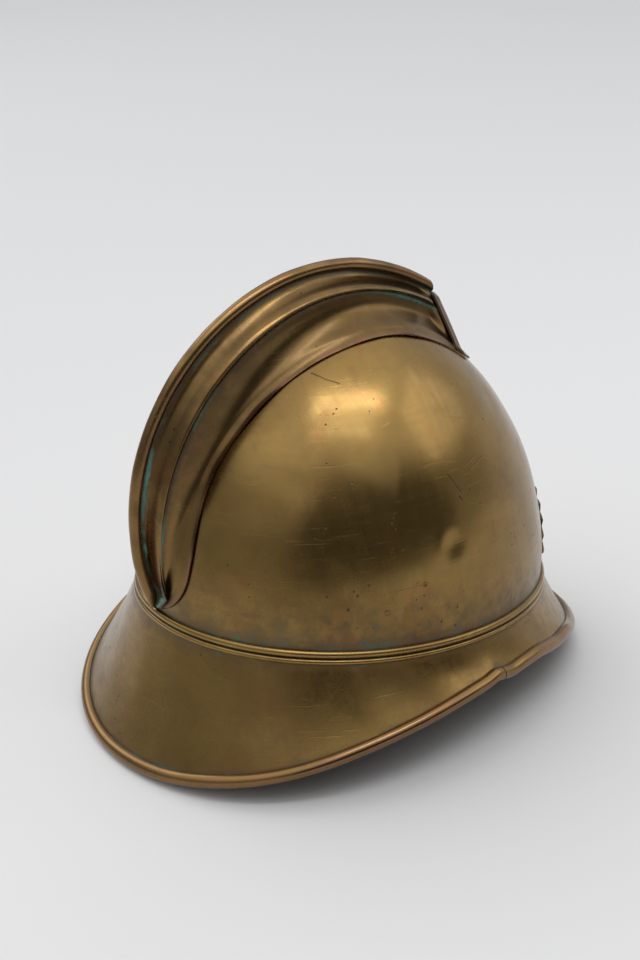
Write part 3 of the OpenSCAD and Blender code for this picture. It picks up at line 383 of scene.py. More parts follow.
def crest(t):
    s = sizes()
    a = np.where(
        t < FOOT_TOP,
        mix(CREST_TAIL, CREST_TOP, (t - FOOT_TAIL) / (FOOT_TOP - FOOT_TAIL)),
        mix(CREST_TOP, CREST_FRONT, (t - FOOT_TOP) / (FOOT_FRONT - FOOT_TOP)),
    )
    along = (a - CREST_TAIL) / (CREST_FRONT - CREST_TAIL)
    wave = np.interp(along, np.linspace(0, 1, len(CREST_WAVES)), CREST_WAVES) * CREST_WAVE
    r = s.crest_radius + wave
    high = s.bead_height + s.dome_height + s.comb_height - s.crest_radius
    a = np.radians(a)
    return np.stack(np.broadcast_arrays(0.0, s.crest_back + r * np.cos(a), high + r * np.sin(a)), -1)


def ridge_foot(t):
    return dome(np.zeros_like(t), t)


def comb_rise(t):
    return np.linalg.norm(crest(t) - ridge_foot(t), axis=-1)


def comb_way(t):
    return (crest(t) - ridge_foot(t)) / comb_rise(t)[..., None]


def comb_edge(t):
    """Half width over the flanges."""
    s = sizes()
    front = mix(s.comb_waist, s.comb_front, smooth((t - 34) / 52)) / 2
    flare = mix(s.comb_tail, s.comb_waist, smooth((t - 12) / 22)) / 2
    tip = s.comb_tail / 2 * np.sqrt(np.clip(1 - ((12 - t) / (12 - FOOT_TAIL * 0.7)) ** 2, 0, 1))
    return np.where(t > 34, front, np.where(t > 12, flare, tip))


def ground(t, x):
    """Height of the dome along a station, at a sideways distance from the ridge."""
    s = sizes()
    t, x = np.broadcast_arrays(np.asarray(t, float), np.asarray(x, float))
    foot, way = ridge_foot(t), comb_way(t)
    low, high = np.full(t.shape, -0.15 * s.dome_width), np.full(t.shape, 0.03 * s.dome_width)
    for _ in range(22):
        middle = (low + high) / 2
        p = foot + way * middle[..., None]
        p[..., 0] += x
        over = dome_level(p) > 1
        high, low = np.where(over, middle, high), np.where(over, low, middle)
    return (low + high) / 2


def crest_roll_radius(t):
    return np.minimum(sizes().crest_roll, 0.4 * comb_rise(t))


def crest_slot(t):
    return sizes().comb_sheet + np.minimum(BESIDE, 0.1 * crest_roll_radius(t))


def soft_line(knots, steps):
    """Smooth curve through rows of knots, with the given number of steps between each two."""
    padded = np.concatenate([2 * knots[:1] - knots[1:2], knots, 2 * knots[-1:] - knots[-2:-1]])
    line = []
    for k in range(1, len(padded) - 2):
        a, b, c, d = padded[k - 1], padded[k], padded[k + 1], padded[k + 2]
        for f in np.arange(steps) / steps:
            bend = (2 * a - 5 * b + 4 * c - d) * f**2
            line.append(0.5 * (2 * b + (c - a) * f + bend + (3 * b - a - 3 * c + d) * f**3))
    return np.array(line + [padded[-2]])


FLARE = 0.05  # share of the wall over which the flange rises
PROFILE_STEPS, FLANGE_ROWS = 5, (0, 0.25, 0.5, 0.75, 0.92)


def comb_profile(t):
    """Outer face of one side at stations t, from the flange up, by shares of the wall's height and thickness."""
    s = sizes()
    e = comb_edge(t)
    narrow = np.minimum(1, 2 * e / s.comb_waist)
    foot = e - np.minimum(s.comb_flange, e / 3)
    low = np.minimum(s.comb_channel * narrow, foot * 0.8)
    ridge, neck = s.comb_ridge * narrow, s.comb_neck * narrow
    top = crest_slot(t) - 0.0001
    shares = np.array([FLARE, 0.12, 0.25, 0.45, 0.575, 0.635, 0.695, 0.755, 0.81, 0.87, 0.93, 1.0])
    widths = [foot, mix(low, foot, 0.5), mix(low, foot, 0.15), low, low * 0.94, ridge * 0.95, ridge * 1.1, ridge * 0.95]
    widths += [neck * 1.9, neck * 1.05, mix(neck * 0.75, top, 0.3), top]
    flat = [mix(foot, neck, share_up**0.85) for share_up in shares[:-1]] + [top]
    blunt = smooth((t - (FOOT_FRONT - 6.5)) / 4.5)
    knots = [np.stack([np.full_like(t, h), mix(w, f, blunt)], -1) for h, w, f in zip(shares, widths, flat)]
    flange = [np.stack([np.full_like(t, FLARE * f**2.5), mix(e, foot, f)], -1) for f in FLANGE_ROWS]
    return np.concatenate([flange, soft_line(np.array(knots), PROFILE_STEPS)])


def comb_place(t, x, h):
    p = ridge_foot(t) + comb_way(t) * h[..., None]
    p[..., 0] += x
    return p


def comb_outer(t):
    """Rows of points of the outer face, one for each row of the profile."""
    s = sizes()
    line = comb_profile(t)
    stations = np.broadcast_to(t, line.shape[:-1])
    wall = comb_rise(t) - 2 * crest_roll_radius(t)
    base = ground(t, comb_edge(t) - s.comb_flange) + BESIDE + s.comb_sheet
    top = np.maximum(wall, base + 0.001)
    low = ground(stations, line[..., 1]) + BESIDE + s.comb_sheet
    return comb_place(stations, line[..., 1], mix(low, top, line[..., 0]))


# Making and finishing pieces


def lay_sheet(name, points, **marks):
    """Adds a flat grid and lays its points on rows of places. Marks from 0 to 1 are kept for the finishes."""
    points = np.asarray(points, float)
    rows, columns = points.shape[0] - 1, points.shape[1] - 1
    bpy.ops.object.select_all(action="DESELECT")
    bpy.ops.mesh.primitive_grid_add(x_subdivisions=columns, y_subdivisions=rows, size=1, location=(0, 0, 0))
    piece = bpy.context.active_object
    piece.name = piece.data.name = name
    mesh = piece.data
    flat = np.empty(len(mesh.vertices) * 3)
    mesh.vertices.foreach_get("co", flat)
    flat = flat.reshape(-1, 3) + 0.5
    column = np.rint(flat[:, 0] * columns).astype(int)
    row = np.rint(flat[:, 1] * rows).astype(int)
    mesh.vertices.foreach_set("co", points[row, column].ravel())
    for mark, values in marks.items():
        values = np.broadcast_to(np.clip(np.asarray(values, float), 0, 1), points.shape[:2])
        kept = mesh.attributes.new(mark, "FLOAT", "POINT")
        kept.data.foreach_set("value", values[row, column])
    mesh.update()
    return piece


def pick(piece, *others):
    bpy.ops.object.select_all(action="DESELECT")
    for other in others:
        other.select_set(True)
    piece.select_set(True)
    bpy.context.view_layer.objects.active = piece


def edit(piece, step, **settings):
    """Takes one editing step on all of a piece."""
    pick(piece)
    bpy.ops.object.mode_set(mode="EDIT")
    bpy.ops.mesh.select_all(action="SELECT")
    step(**settings)
    bpy.ops.object.mode_set(mode="OBJECT")


def close_seams(piece, gap=0.00002):
    edit(piece, bpy.ops.mesh.remove_doubles, threshold=gap)


def face_out(piece):
    """Turns the faces of a closed piece outwards."""
    edit(piece, bpy.ops.mesh.normals_make_consistent, inside=False)


def face_away(piece, inner):
    """Turns the faces of an open sheet away from the inner points that inner gives for the face centres."""
    mesh = piece.data
    centres, normals = np.empty((2, len(mesh.polygons) * 3))
    mesh.polygons.foreach_get("center", centres)
    mesh.polygons.foreach_get("normal", normals)
    centres, normals = centres.reshape(-1, 3), normals.reshape(-1, 3)
    if ((centres - inner(centres)) * normals).sum(-1).mean() < 0:
        edit(piece, bpy.ops.mesh.flip_normals)


def nearest(line):
    """Gives for each centre the nearest point of a line."""
    return lambda centres: line[np.linalg.norm(centres[:, None] - line[None], axis=-1).argmin(1)]


def apply_modifier(piece, kind, **settings):
    pick(piece)
    bpy.ops.object.modifier_add(type=kind)
    modifier = piece.modifiers[-1]
    for setting, value in settings.items():
        setattr(modifier, setting, value)
    bpy.ops.object.modifier_apply(modifier=modifier.name)


def thicken(piece, wall, offset=-1.0):
    apply_modifier(piece, "SOLIDIFY", thickness=wall, offset=offset, use_even_offset=True, thickness_clamp=0.0)


def join(name, pieces):
    pick(pieces[0], *pieces[1:])
    if len(pieces) > 1:
        bpy.ops.object.join()
    pieces[0].name = pieces[0].data.name = name
    return pieces[0]


def dress(piece, body, slot, finish, *nodes, edges=None):
    """Gives a finished piece its smooth faces, its body, its finish and the nodes that it stands for."""
    pick(piece)
    if edges is None:
        bpy.ops.object.shade_smooth()
    else:
        bpy.ops.object.shade_smooth_by_angle(angle=math.radians(edges))
    piece.data.materials.clear()
    piece.data.materials.append(bpy.data.materials[finish])
    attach(piece, body)
    if nodes:
        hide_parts(*nodes)


def cut(piece, tool):
    """Takes a tool's shape out of a piece and puts the tool away."""
    apply_modifier(piece, "BOOLEAN", operation="DIFFERENCE", object=tool, solver="EXACT")
    bpy.data.objects.remove(tool)


def punch(strap, place, axis, radius):
    bpy.ops.object.select_all(action="DESELECT")
    turn = Vector(axis).to_track_quat("Z", "Y").to_euler()
    bpy.ops.mesh.primitive_cylinder_add(vertices=24, radius=radius, depth=0.012, location=place, rotation=turn)
    drill = bpy.context.active_object
    bpy.ops.object.transform_apply(location=True, rotation=True, scale=True)
    cut(strap, drill)


def ring_round(path, shape, side_way, closed=False):
    """Rows of points of a section carried along a path: shape is (sideways, outward) for each of its points."""
    path = np.asarray(path, float)
    around = np.concatenate([path[-2:-1], path, path[1:2]]) if closed else path
    along = np.gradient(around, axis=0)
    along = along[1:-1] if closed else along
    along = along / np.linalg.norm(along, axis=-1, keepdims=True)
    side = np.broadcast_to(np.asarray(side_way, float), path.shape)
    side = side - (side * along).sum(-1, keepdims=True) * along
    side = side / np.linalg.norm(side, axis=-1, keepdims=True)
    out = np.cross(along, side)
    return path[:, None] + side[:, None] * shape[..., :1] + out[:, None] * shape[..., 1:]


def close_ends(path, points):
    """Draws both ends of a carried section in to its path."""
    first, last = (np.repeat(end[None], points.shape[1], 1) for end in (path[:1], path[-1:]))
    return np.concatenate([first, points, last])


def sew(places, ways, ups, thread=0.0004):
    """Copies one small stitch to each place, along its way and proud along its up."""
    s = sizes()
    bpy.ops.object.select_all(action="DESELECT")
    bpy.ops.mesh.primitive_uv_sphere_add(segments=6, ring_count=5, radius=1, location=(0, 0, 0))
    stitch = bpy.context.active_object
    mesh = stitch.data
    ball = np.array([v.co[:] for v in mesh.vertices])
    faces = [list(f.vertices) for f in mesh.polygons]
    long_way = ball[:, 2:3] * s.stitch_length / 2
    dip = -0.35 * thread * np.abs(ball[:, 2:3]) ** 3
    points, walls = [], []
    for place, way, up in zip(places, ways, ups):
        way = way / np.linalg.norm(way)
        up = up - up.dot(way) * way
        up = up / np.linalg.norm(up)
        side = np.cross(way, up)
        base = len(points) * len(ball)
        points.append(place + way * long_way + side * ball[:, :1] * thread + up * (ball[:, 1:2] * thread + dip))
        walls += [[base + k for k in f] for f in faces]
    mesh.clear_geometry()
    mesh.from_pydata(np.concatenate(points).tolist(), [], walls)
    mesh.update()
    stitch.name = mesh.name = "row"
    face_out(stitch)
    return stitch


def sew_row(place, ahead, out):
    """Stitches at places on the upright helmet, each towards ahead and proud towards out."""
    place = stand(place)
    return sew(place, stand(ahead) - place, stand(out) - place)


# Brass pieces


def right_side_angles(count):
    """Angles round the helmet, closer together on the right side, where the dent and the joint are."""
    f = np.linspace(0, 1, count + 1)
    return 360 * f - 22 * np.sin(2 * np.pi * (f - 0.75)) - 22


BEAD_GROOVE = 0.42  # height of the groove between the beads, as a share


def bead_line(s):
    """Outer face of the double bead from the dome down, as how far out and how high."""
    groove = s.bead_height * BEAD_GROOVE
    b = s.bead_out
    knots = []
    for g in np.radians([90, 66, 42, 18, -6, -30, -54]):
        knots.append((b * (0.15 + 0.85 * math.cos(g)), mix(groove, s.bead_height, 0.5 + 0.5 * math.sin(g))))
    knots.append((b * 0.45, groove))
    for g in np.radians([58, 30, 2, -26]):
        knots.append((b * (0.5 + 0.72 * math.cos(g)), groove * (0.45 + 0.55 * math.sin(g))))
    return soft_line(np.array(knots), 3)


class HELMET_OT_skull(bpy.types.Operator):
    """Raises the dome, presses the double bead and flares the brim, in one sheet with its inner face"""

    bl_idname = "helmet.skull"
    bl_label = "Dome and brim"

    def execute(self, context):
        s = sizes()
        angles = right_side_angles(264)
        arch = 90 * np.linspace(1, 0, 66) ** 1.08
        outer = dome(angles[None], arch[:, None])
        normals = dome_normal(outer)
        lift = hammering(outer)
        inner = dome(angles[None], arch[:, None], -s.skull_sheet)
        outer, inner = outer + normals * lift[..., None], inner + normals * lift[..., None]
        outer[0], inner[0] = outer[0].mean(0), inner[0].mean(0)
        bead = np.array([oval(angles, out, up) for out, up in bead_line(s)])
        reach = 1 - (0.0021 + BESIDE) / np.hypot(brim_run(angles), brim_drop(angles))
        steps = np.concatenate([[0, 0.006, 0.022], np.linspace(0, 1, 22)[1:]])
        top = np.array([oval(angles, *brim_face(angles, f * reach, 1)) for f in steps])
        under = np.array([oval(angles, *brim_face(angles, f * reach, -1)) for f in steps[::-1]])
        hollow = ((0.8, 0.36), (0.97, 0.6), (0.6, 0.85))
        hollow = [oval(angles, out * s.bead_out - s.skull_sheet, up * s.bead_height) for out, up in hollow]
        points = np.concatenate([outer, bead, top, under, hollow, inner[::-1]])
        line, f = bead_line(s), steps[:, None]
        start = len(outer)
        brim = start + len(bead)
        edge = brim + len(steps)
        crevice, lining, rub = np.zeros((3, *points.shape[:2]))
        # Darker towards the bead: tarnish, and painted shade for the dimmer reflection of the table low on the dome.
        crevice[:start] = 0.62 * (1 - smooth((outer[..., 2] - s.bead_height) / 0.06))
        # Grime and painted shade in the groove between the beads and in the crease where the dome meets the bead.
        crevice[start:brim] = bump(line[:, 1], BEAD_GROOVE * s.bead_height, 0.0005)[:, None]
        crevice[start - 3 : start + 2] = np.array([0.7, 0.8, 0.95, 1, 0.5])[:, None]
        solder = smooth((f - 0.7) / 0.2) * bump(angles, right_joint() + 0.8, 1.4)
        # Over the brim: an even darkening, grime and painted shade just under the bead, darker where the sheet enters
        # the roll, and the dark solder at the joint.
        crevice[brim:edge] = 0.42 + hills(f, (0.28, 0.02, 0.05), (0.58, 1, 0.035)) + 0.35 * solder
        lining[edge:] = 1
        # Lighter where the bead stands furthest out: wear, and painted highlight.
        rub[start:brim] = np.clip((line[:, 0] / s.bead_out - 0.75) * 3.4, 0, 1)[:, None]
        skull = lay_sheet("brass_skull", stand(points), crevice=crevice, lining=lining, rub=rub)
        close_seams(skull)
        face_out(skull)
        dress(skull, "helmet", "brass_skull", "Aged brass of the dome", "skull", edges=50)
        return {"FINISHED"}


def edge_strip(name, start, stop, steps):
    """A strip rolled round the brim's edge between two angles, open where the sheet enters it."""
    s = sizes()
    angles = np.linspace(start, stop, steps)
    out, up = brim_middle(angles, 1)
    row_out, row_up = brim_middle(angles, 0.75)
    lean = np.degrees(np.arctan2(row_up - up, row_out - out))
    opening = math.degrees(math.asin((s.skull_sheet / 2 + SLOT_PLAY) / s.roll_radius))
    turn = np.linspace(opening, 360 - opening, 40)
    g = np.radians(lean[:, None] + turn[None])
    pinch = 1 - 0.012 * np.sin(np.radians(angles * 13))[:, None] - 0.02 * bump(angles, right_joint(), 2)[:, None]
    r = s.roll_radius * pinch
    spots = [oval(a, o + rr * np.cos(gg), u + rr * np.sin(gg)) for a, o, u, rr, gg in zip(angles, out, up, r, g)]
    ends = np.minimum(angles - angles.min(), angles.max() - angles) * math.pi / 180 * s.dome_width / 2
    crevice = hills(turn, (1, opening, 10), (1, 360 - opening, 10)) + 0.6 * bump(ends, 0, 0.0012)[:, None]
    rub, copper = bump(turn, 175, 60), 0.35 + 0.5 * bump(turn, 235, 60)
    strip = lay_sheet(name, stand(np.array(spots)), crevice=crevice, rub=rub, flange=copper)
    whole_edge = np.linspace(0, 360, 721)
    face_away(strip, nearest(stand(oval(whole_edge, *brim_middle(whole_edge, 1)))))
    thicken(strip, s.roll_sheet)
    return strip


class HELMET_OT_edge_rolls(bpy.types.Operator):
    """Rolls the rear and front strips over the brim's edge, open where the sheet enters them"""

    bl_idname = "helmet.edge_rolls"
    bl_label = "Rolled edge"

    def execute(self, context):
        s = sizes()
        gap = math.degrees(s.roll_gap / s.dome_length)
        half_rear, half_front = s.roll_joint - gap, 180 - s.roll_joint - gap
        for word, middle, half, steps in (("rear", 0, half_rear, 260), ("front", 180, half_front, 210)):
            strip = edge_strip("rolled_edge_" + word, middle - half, middle + half, steps)
            dress(strip, "helmet", "brass_edge", "Rubbed brass of the edge", "edge_roll_" + word, edges=50)
        return {"FINISHED"}


def comb_side(name, side):
    """One pressed half of the comb, where side is -1 on the right and 1 on the left."""
    s = sizes()
    t = np.concatenate([mix(FOOT_TAIL, 14, np.linspace(0, 1, 26) ** 1.3), np.linspace(14, FOOT_FRONT, 150)[1:]])
    points, line = comb_outer(t), comb_profile(t)
    waves = 0.00035 * (1 + np.sin(np.radians(t * 9))) + 0.0003 * np.sin(np.radians(t * 23))
    edge_lift = np.array([0.5, 0.22, 0.08, 0, 0])[:, None] * waves
    points[:5] += dome_normal(points[:5]) * edge_lift[..., None]
    last = comb_place(t, line[-1, :, 1], comb_rise(t) - crest_roll_radius(t) * 1.1)
    points = np.concatenate([points, last[None]])
    points[..., 0] *= side
    up = np.concatenate([line[..., 0], np.ones((1, len(t)))])
    tail, front = smooth((52 - t) / 24), bump(t, 104, 10)
    # Darker beside the crest roll, in the channels and just under and over the pressed ridge: grime, and painted shade
    # under the ridge and the roll. Darker too at the comb's ends and along the flange's fold.
    crevice = hills(up, (0.95, 0.97, 0.05), (0.9, 0.57, 0.04), (0.5, 0.44, 0.14), (0.35, 0.84, 0.035))
    crevice += tail * hills(up, (0.5, 0.56, 0.06), (0.4, 0.92, 0.05)) + 0.6 * front * bump(up, 0.55, 0.07)
    crevice += 0.7 * bump(t, FOOT_TAIL, 6) + (up > 0.02) * 0.9 * bump(t, FOOT_FRONT, 2.2)
    crevice[3:7] += np.array([0.1, 0.3, 0.3, 0.1])[:, None]
    crust = tail * hills(up, (1.6, 0.96, 0.08), (1.2, 0.56, 0.08)) + 1.1 * front * bump(up, 0.5, 0.1)
    crust += 0.35 * bump(up, 0.9, 0.08) + 1.2 * bump(t, FOOT_FRONT, 3)
    # Lighter along the ridge's crown: wear, and painted highlight.
    rub, flange = bump(up, 0.72, 0.03), np.zeros(up.shape)
    rub[:3], flange[:3] = [[0.8], [0.3], [0.1]], [[1], [0.35], [0.1]]
    half = lay_sheet(name, stand(points), crevice=crevice, rub=rub, flange=flange, crust=crust)
    face_away(half, nearest(stand(comb_place(t, 0 * t, comb_rise(t) * 0.4 - 0.004))))
    thicken(half, s.comb_sheet)
    return half


class HELMET_OT_comb(bpy.types.Operator):
    """Presses the two comb halves with their channels and ridge, and rolls the crest strip over their edges"""

    bl_idname = "helmet.comb"
    bl_label = "Comb"

    def execute(self, context):
        for side, word in ((-1, "right"), (1, "left")):
            half = comb_side("pressed_comb_" + word, side)
            dress(half, "helmet", "brass_comb", "Brown brass of the comb", "comb_half_" + word, edges=45)
        t = np.linspace(FOOT_TAIL, FOOT_FRONT, 170)
        r = crest_roll_radius(t)
        opening = np.degrees(np.arcsin((crest_slot(t) + 0.0001) / r))[:, None]
        turn = np.linspace(0, 1, 30)
        g = np.radians(-90 + opening + turn * (360 - 2 * opening))
        middle = comb_rise(t) - r
        wave = 0.97 + 0.018 * np.sin(np.radians(t * 17)) + 0.011 * np.sin(np.radians(t * 41))
        thick = (r * wave)[:, None]
        stations = np.broadcast_to(t[:, None], g.shape)
        points = comb_place(stations, thick * np.cos(g), middle[:, None] + thick * np.sin(g))
        # Darker where the comb's sheets enter the roll, with grime and painted shade, and darker at its front end.
        # Lighter along the roll's top: wear, and painted highlight.
        crevice = hills(turn, (1, 0, 0.08), (1, 1, 0.08)) + 0.6 * bump(t, FOOT_FRONT, 1.2)[:, None]
        roll = lay_sheet("comb_crest_strip", stand(points), crevice=crevice, rub=bump(turn, 0.5, 0.22), flange=0.25)
        face_away(roll, nearest(stand(comb_place(t, 0 * t, middle))))
        thicken(roll, 0.0008)
        dress(roll, "helmet", "brass_comb", "Brown brass of the comb", "comb_crest_roll", edges=50)
        return {"FINISHED"}


class HELMET_OT_comb_plate(bpy.types.Operator):
    """Closes the comb's front with a plate whose rim turns back over the sides and whose lip lies on the dome"""

    bl_idname = "helmet.comb_plate"
    bl_label = "Comb front plate"

    def execute(self, context):
        s = sizes()
        front = np.array([FOOT_FRONT])
        way = comb_way(front)[0]
        ahead = np.array([0, -way[2], way[1]])
        grow = 2 * BESIDE + s.plate_sheet
        line = comb_profile(front)[4:, 0]
        knots = np.linspace(len(line) - 1, 0, 34)
        shares, halves = (np.interp(knots, np.arange(len(line)), line[:, k]) for k in (0, 1))
        back = s.plate_rim / (s.dome_length / 2) * 180 / math.pi
        wall = (comb_rise(front) - 2 * crest_roll_radius(front))[0]
        ticks, rows = np.linspace(-1, 1, 31), []
        for up, half in zip(shares, halves):
            across = ticks * (half + grow - 0.0006)
            h = mix(ground(front, across) + s.comb_sheet, wall - 0.0005, up)
            crown = 0.0010 * (1 - (across / (half + grow)) ** 2) * np.sin(np.pi * np.clip(up, 0.02, 0.98))
            face = comb_place(np.repeat(front, 31), across, h) + ahead * (0.00005 + s.plate_sheet + crown)[:, None]
            rim = []
            for f in (0.12, 0.35, 0.6, 0.8, 1.0):
                t = front - back * f
                profile = comb_profile(t)[4:, 0]
                now = np.interp(up, profile[:, 0], profile[:, 1])
                low = (ground(t, now) + BESIDE + s.comb_sheet)[0]
                high = (comb_rise(t) - 2 * crest_roll_radius(t))[0]
                place = comb_place(t, np.array([now + grow + 0.0009 * f * f]), np.array([mix(low, high, up)]))[0]
                rim.append(place + ahead * 0.0004 * (1 - f))
            rows.append(np.concatenate([rim[::-1] * np.array([-1, 1, 1]), face, rim]))
        for along in np.linspace(0.001, s.plate_lip, 7):
            across = ticks * (halves[-1] + grow - 0.0006 - 0.25 * along)
            q = comb_place(np.repeat(front, 31), across, ground(front, across))
            n = dome_normal(q)
            down = np.stack([0 * across, -n[:, 2], n[:, 1]], -1)
            down /= np.linalg.norm(down, axis=-1, keepdims=True)
            lip = q + down * along + n * (BESIDE + s.plate_sheet)
            rows.append(np.concatenate([np.repeat(lip[:1], 5, 0), lip, np.repeat(lip[-1:], 5, 0)]))
        crevice, rub = np.zeros((2, len(rows), len(rows[0])))
        crevice[33:37] = np.array([0.6, 1, 0.7, 0.3])[:, None]
        crevice[:, :5] = crevice[:, 36:] = 0.55
        rub[:, [4, 5, 35, 36]] = 0.4
        marks = {"crevice": crevice, "rub": rub, "flange": 0.1, "crust": crevice}
        plate = lay_sheet("comb_front_plate_sheet", stand(rows), **marks)
        close_seams(plate)
        inner = stand(comb_place(front - 10, np.zeros(1), np.array([0.01])))
        face_away(plate, nearest(inner))
        thicken(plate, s.plate_sheet)
        dress(plate, "helmet", "brass_plate", "Brown brass of the comb", "comb_front_plate", edges=45)
        return {"FINISHED"}


class HELMET_OT_badge(bpy.types.Operator):
    """Raises the rays of the half disc and its plain boss, and lays it on the dome's front"""

    bl_idname = "helmet.badge"
    bl_label = "Rayed plate"

    def execute(self, context):
        s = sizes()
        turn = np.linspace(0, 180, s.badge_rays * 12 + 1)
        notch = np.abs(np.mod(turn / (180 / s.badge_rays), 1) - 0.5) * 2
        f = np.linspace(0, 1, 62)[:, None] ** 0.9
        r = (s.badge_radius - s.badge_notch * notch) * f
        x, z = r * np.cos(np.radians(turn)), s.badge_place + r * np.sin(np.radians(turn))
        from_boss = np.hypot(x, z - (s.badge_place + s.boss_radius + 0.003)) - s.boss_radius
        field = smooth((from_boss - 0.0045) / 0.006) * smooth((z - s.badge_place) / 0.004)
        ridge = s.ray_relief * (1 - notch) * field * smooth(f / 0.3) * (1 - 0.7 * smooth((f - 0.8) / 0.2))
        cap = s.boss_height * np.clip(1 - (from_boss / s.boss_radius + 1) ** 2, 0, None) ** 0.8
        rims = 0.0011 * bump(from_boss, 0.0024, 0.0011) + 0.0006 * bump(z, s.badge_place + 0.0014, 0.0009)
        wave = 0.0002 * np.sin(x * 240 + 1) * np.sin(z * 210)
        y = dome_front(x, z, s.badge_gap + s.badge_sheet + ridge + cap + rims + wave)
        crevice = notch**4 * field + hills(from_boss, (0.8, 0.0002, 0.0008), (0.8, 0.0047, 0.0008))
        rub = (1 - notch) ** 2 * field + hills(from_boss, (1, -s.boss_radius, 0.009), (1, 0.0024, 0.0007))
        badge = lay_sheet("rayed_front_plate", stand(np.stack([x, y, z], -1)), crevice=crevice, rub=rub)
        close_seams(badge)
        face_away(badge, nearest(np.array([[0, 0, 0.1]])))
        thicken(badge, s.badge_sheet)
        dress(badge, "helmet", "brass_plate", "Dark brass of the rayed plate", "badge_plate", edges=40)
        return {"FINISHED"}


# Leather liner


def liner_at(angle, off, z):
    """Points off outside the head opening, at a height."""
    s = sizes()
    a = np.radians(angle)
    x, y = (s.head_width / 2 + off) * np.sin(a), (s.head_length / 2 + off) * np.cos(a)
    return np.stack(np.broadcast_arrays(x, y, z), -1)


RING_FOOT, TONGUE_FOOT = -0.002, -0.001


def band_face(angle, z, depth):
    """Point of the sweatband at a height: depth is 0 on the head's side and 1 on the other."""
    s = sizes()
    lean = s.band_lean * np.clip((z - TONGUE_FOOT) / (s.band_height - s.band_drop - TONGUE_FOOT), 0, 1.02)
    waves = 1 + 0.6 * np.sin(np.radians(angle * 7)) + 0.4 * np.sin(np.radians(angle * 19 + 40))
    buckle = 0.0004 * smooth((z - TONGUE_FOOT) / 0.03) * waves
    return liner_at(angle, s.band_leather * depth - lean - buckle, z)


class HELMET_OT_sweatband(bpy.types.Operator):
    """Sews the leather sweatband with its turned upper edge"""

    bl_idname = "helmet.sweatband"
    bl_label = "Sweatband"

    def execute(self, context):
        s = sizes()
        top, low = s.band_height - s.band_drop, -s.band_drop
        angles = np.linspace(0, 360, 241)
        section = [(0.5, low), (0.85, low + 0.0002), (1, low + 0.0009)]
        section += [(1, z) for z in np.linspace(low + 0.003, top - 0.005, 12)]
        turned = [(0.55, 0.0038), (0.8, 0.003), (0.85, 0.0016), (0.55, 0.0003)]
        section += [(0.5 + out, top - down) for out, down in turned] + [(0.5, top)]
        section += [(0.5 - out, top - down) for out, down in turned[::-1]]
        section += [(0, z) for z in np.linspace(top - 0.005, low + 0.003, 12)]
        section += [(0, low + 0.0009), (0.15, low + 0.0002), (0.5, low)]
        points = np.array([band_face(angles, z, depth) for depth, z in section])
        height = np.array([z for _, z in section])
        seams = top - 0.0046, low + 0.0035
        crevice = hills(height, (1, top - 0.0042, 0.0008), (0.7, low + 0.0035, 0.0007))[:, None]
        band = lay_sheet("leather_sweatband", stand(points), crevice=crevice)
        close_seams(band)
        face_out(band)
        dress(band, "helmet", "liner_leather", "Liner leather", "sweatband")
        a = np.linspace(0, 360, 118)[:-1]
        rows = [sew_row(band_face(a, z, 0), band_face(a + 0.5, z, 0), band_face(a, z, -1)) for z in seams[::-1]]
        dress(join("sweatband_stitches", rows), "helmet", "lace_cord", "Sewing thread")
        return {"FINISHED"}


def tongue_arch():
    """Numbers of the tongues' arch: power, share at the tip, angle of the tip and its height."""
    s = sizes()
    power = 2 / s.tongue_fullness
    tip_share = s.lace_loop / (s.head_length / 2)
    tip = math.degrees(math.acos(tip_share ** (1 / power)))
    return power, tip_share, tip, RING_FOOT + 0.001 + s.tongue_rise * math.sin(math.radians(tip)) ** power


def tongue_point(angle, t, off):
    s = sizes()
    power, tip_share, tip, _ = tongue_arch()
    f = smooth(t / tip)
    face = s.band_leather + 1.5 * BESIDE
    w = mix(s.head_width / 2 + face, s.lace_loop / tip_share, f) + off
    l = mix(s.head_length / 2 + face, s.lace_loop / tip_share, f) + off
    flat = np.cos(np.radians(t)) ** power
    a = np.radians(angle)
    z = RING_FOOT + 0.001 + (s.tongue_rise + off) * np.sin(np.radians(t)) ** power
    return np.stack(np.broadcast_arrays(w * flat * np.sin(a), l * flat * np.cos(a), z), -1)


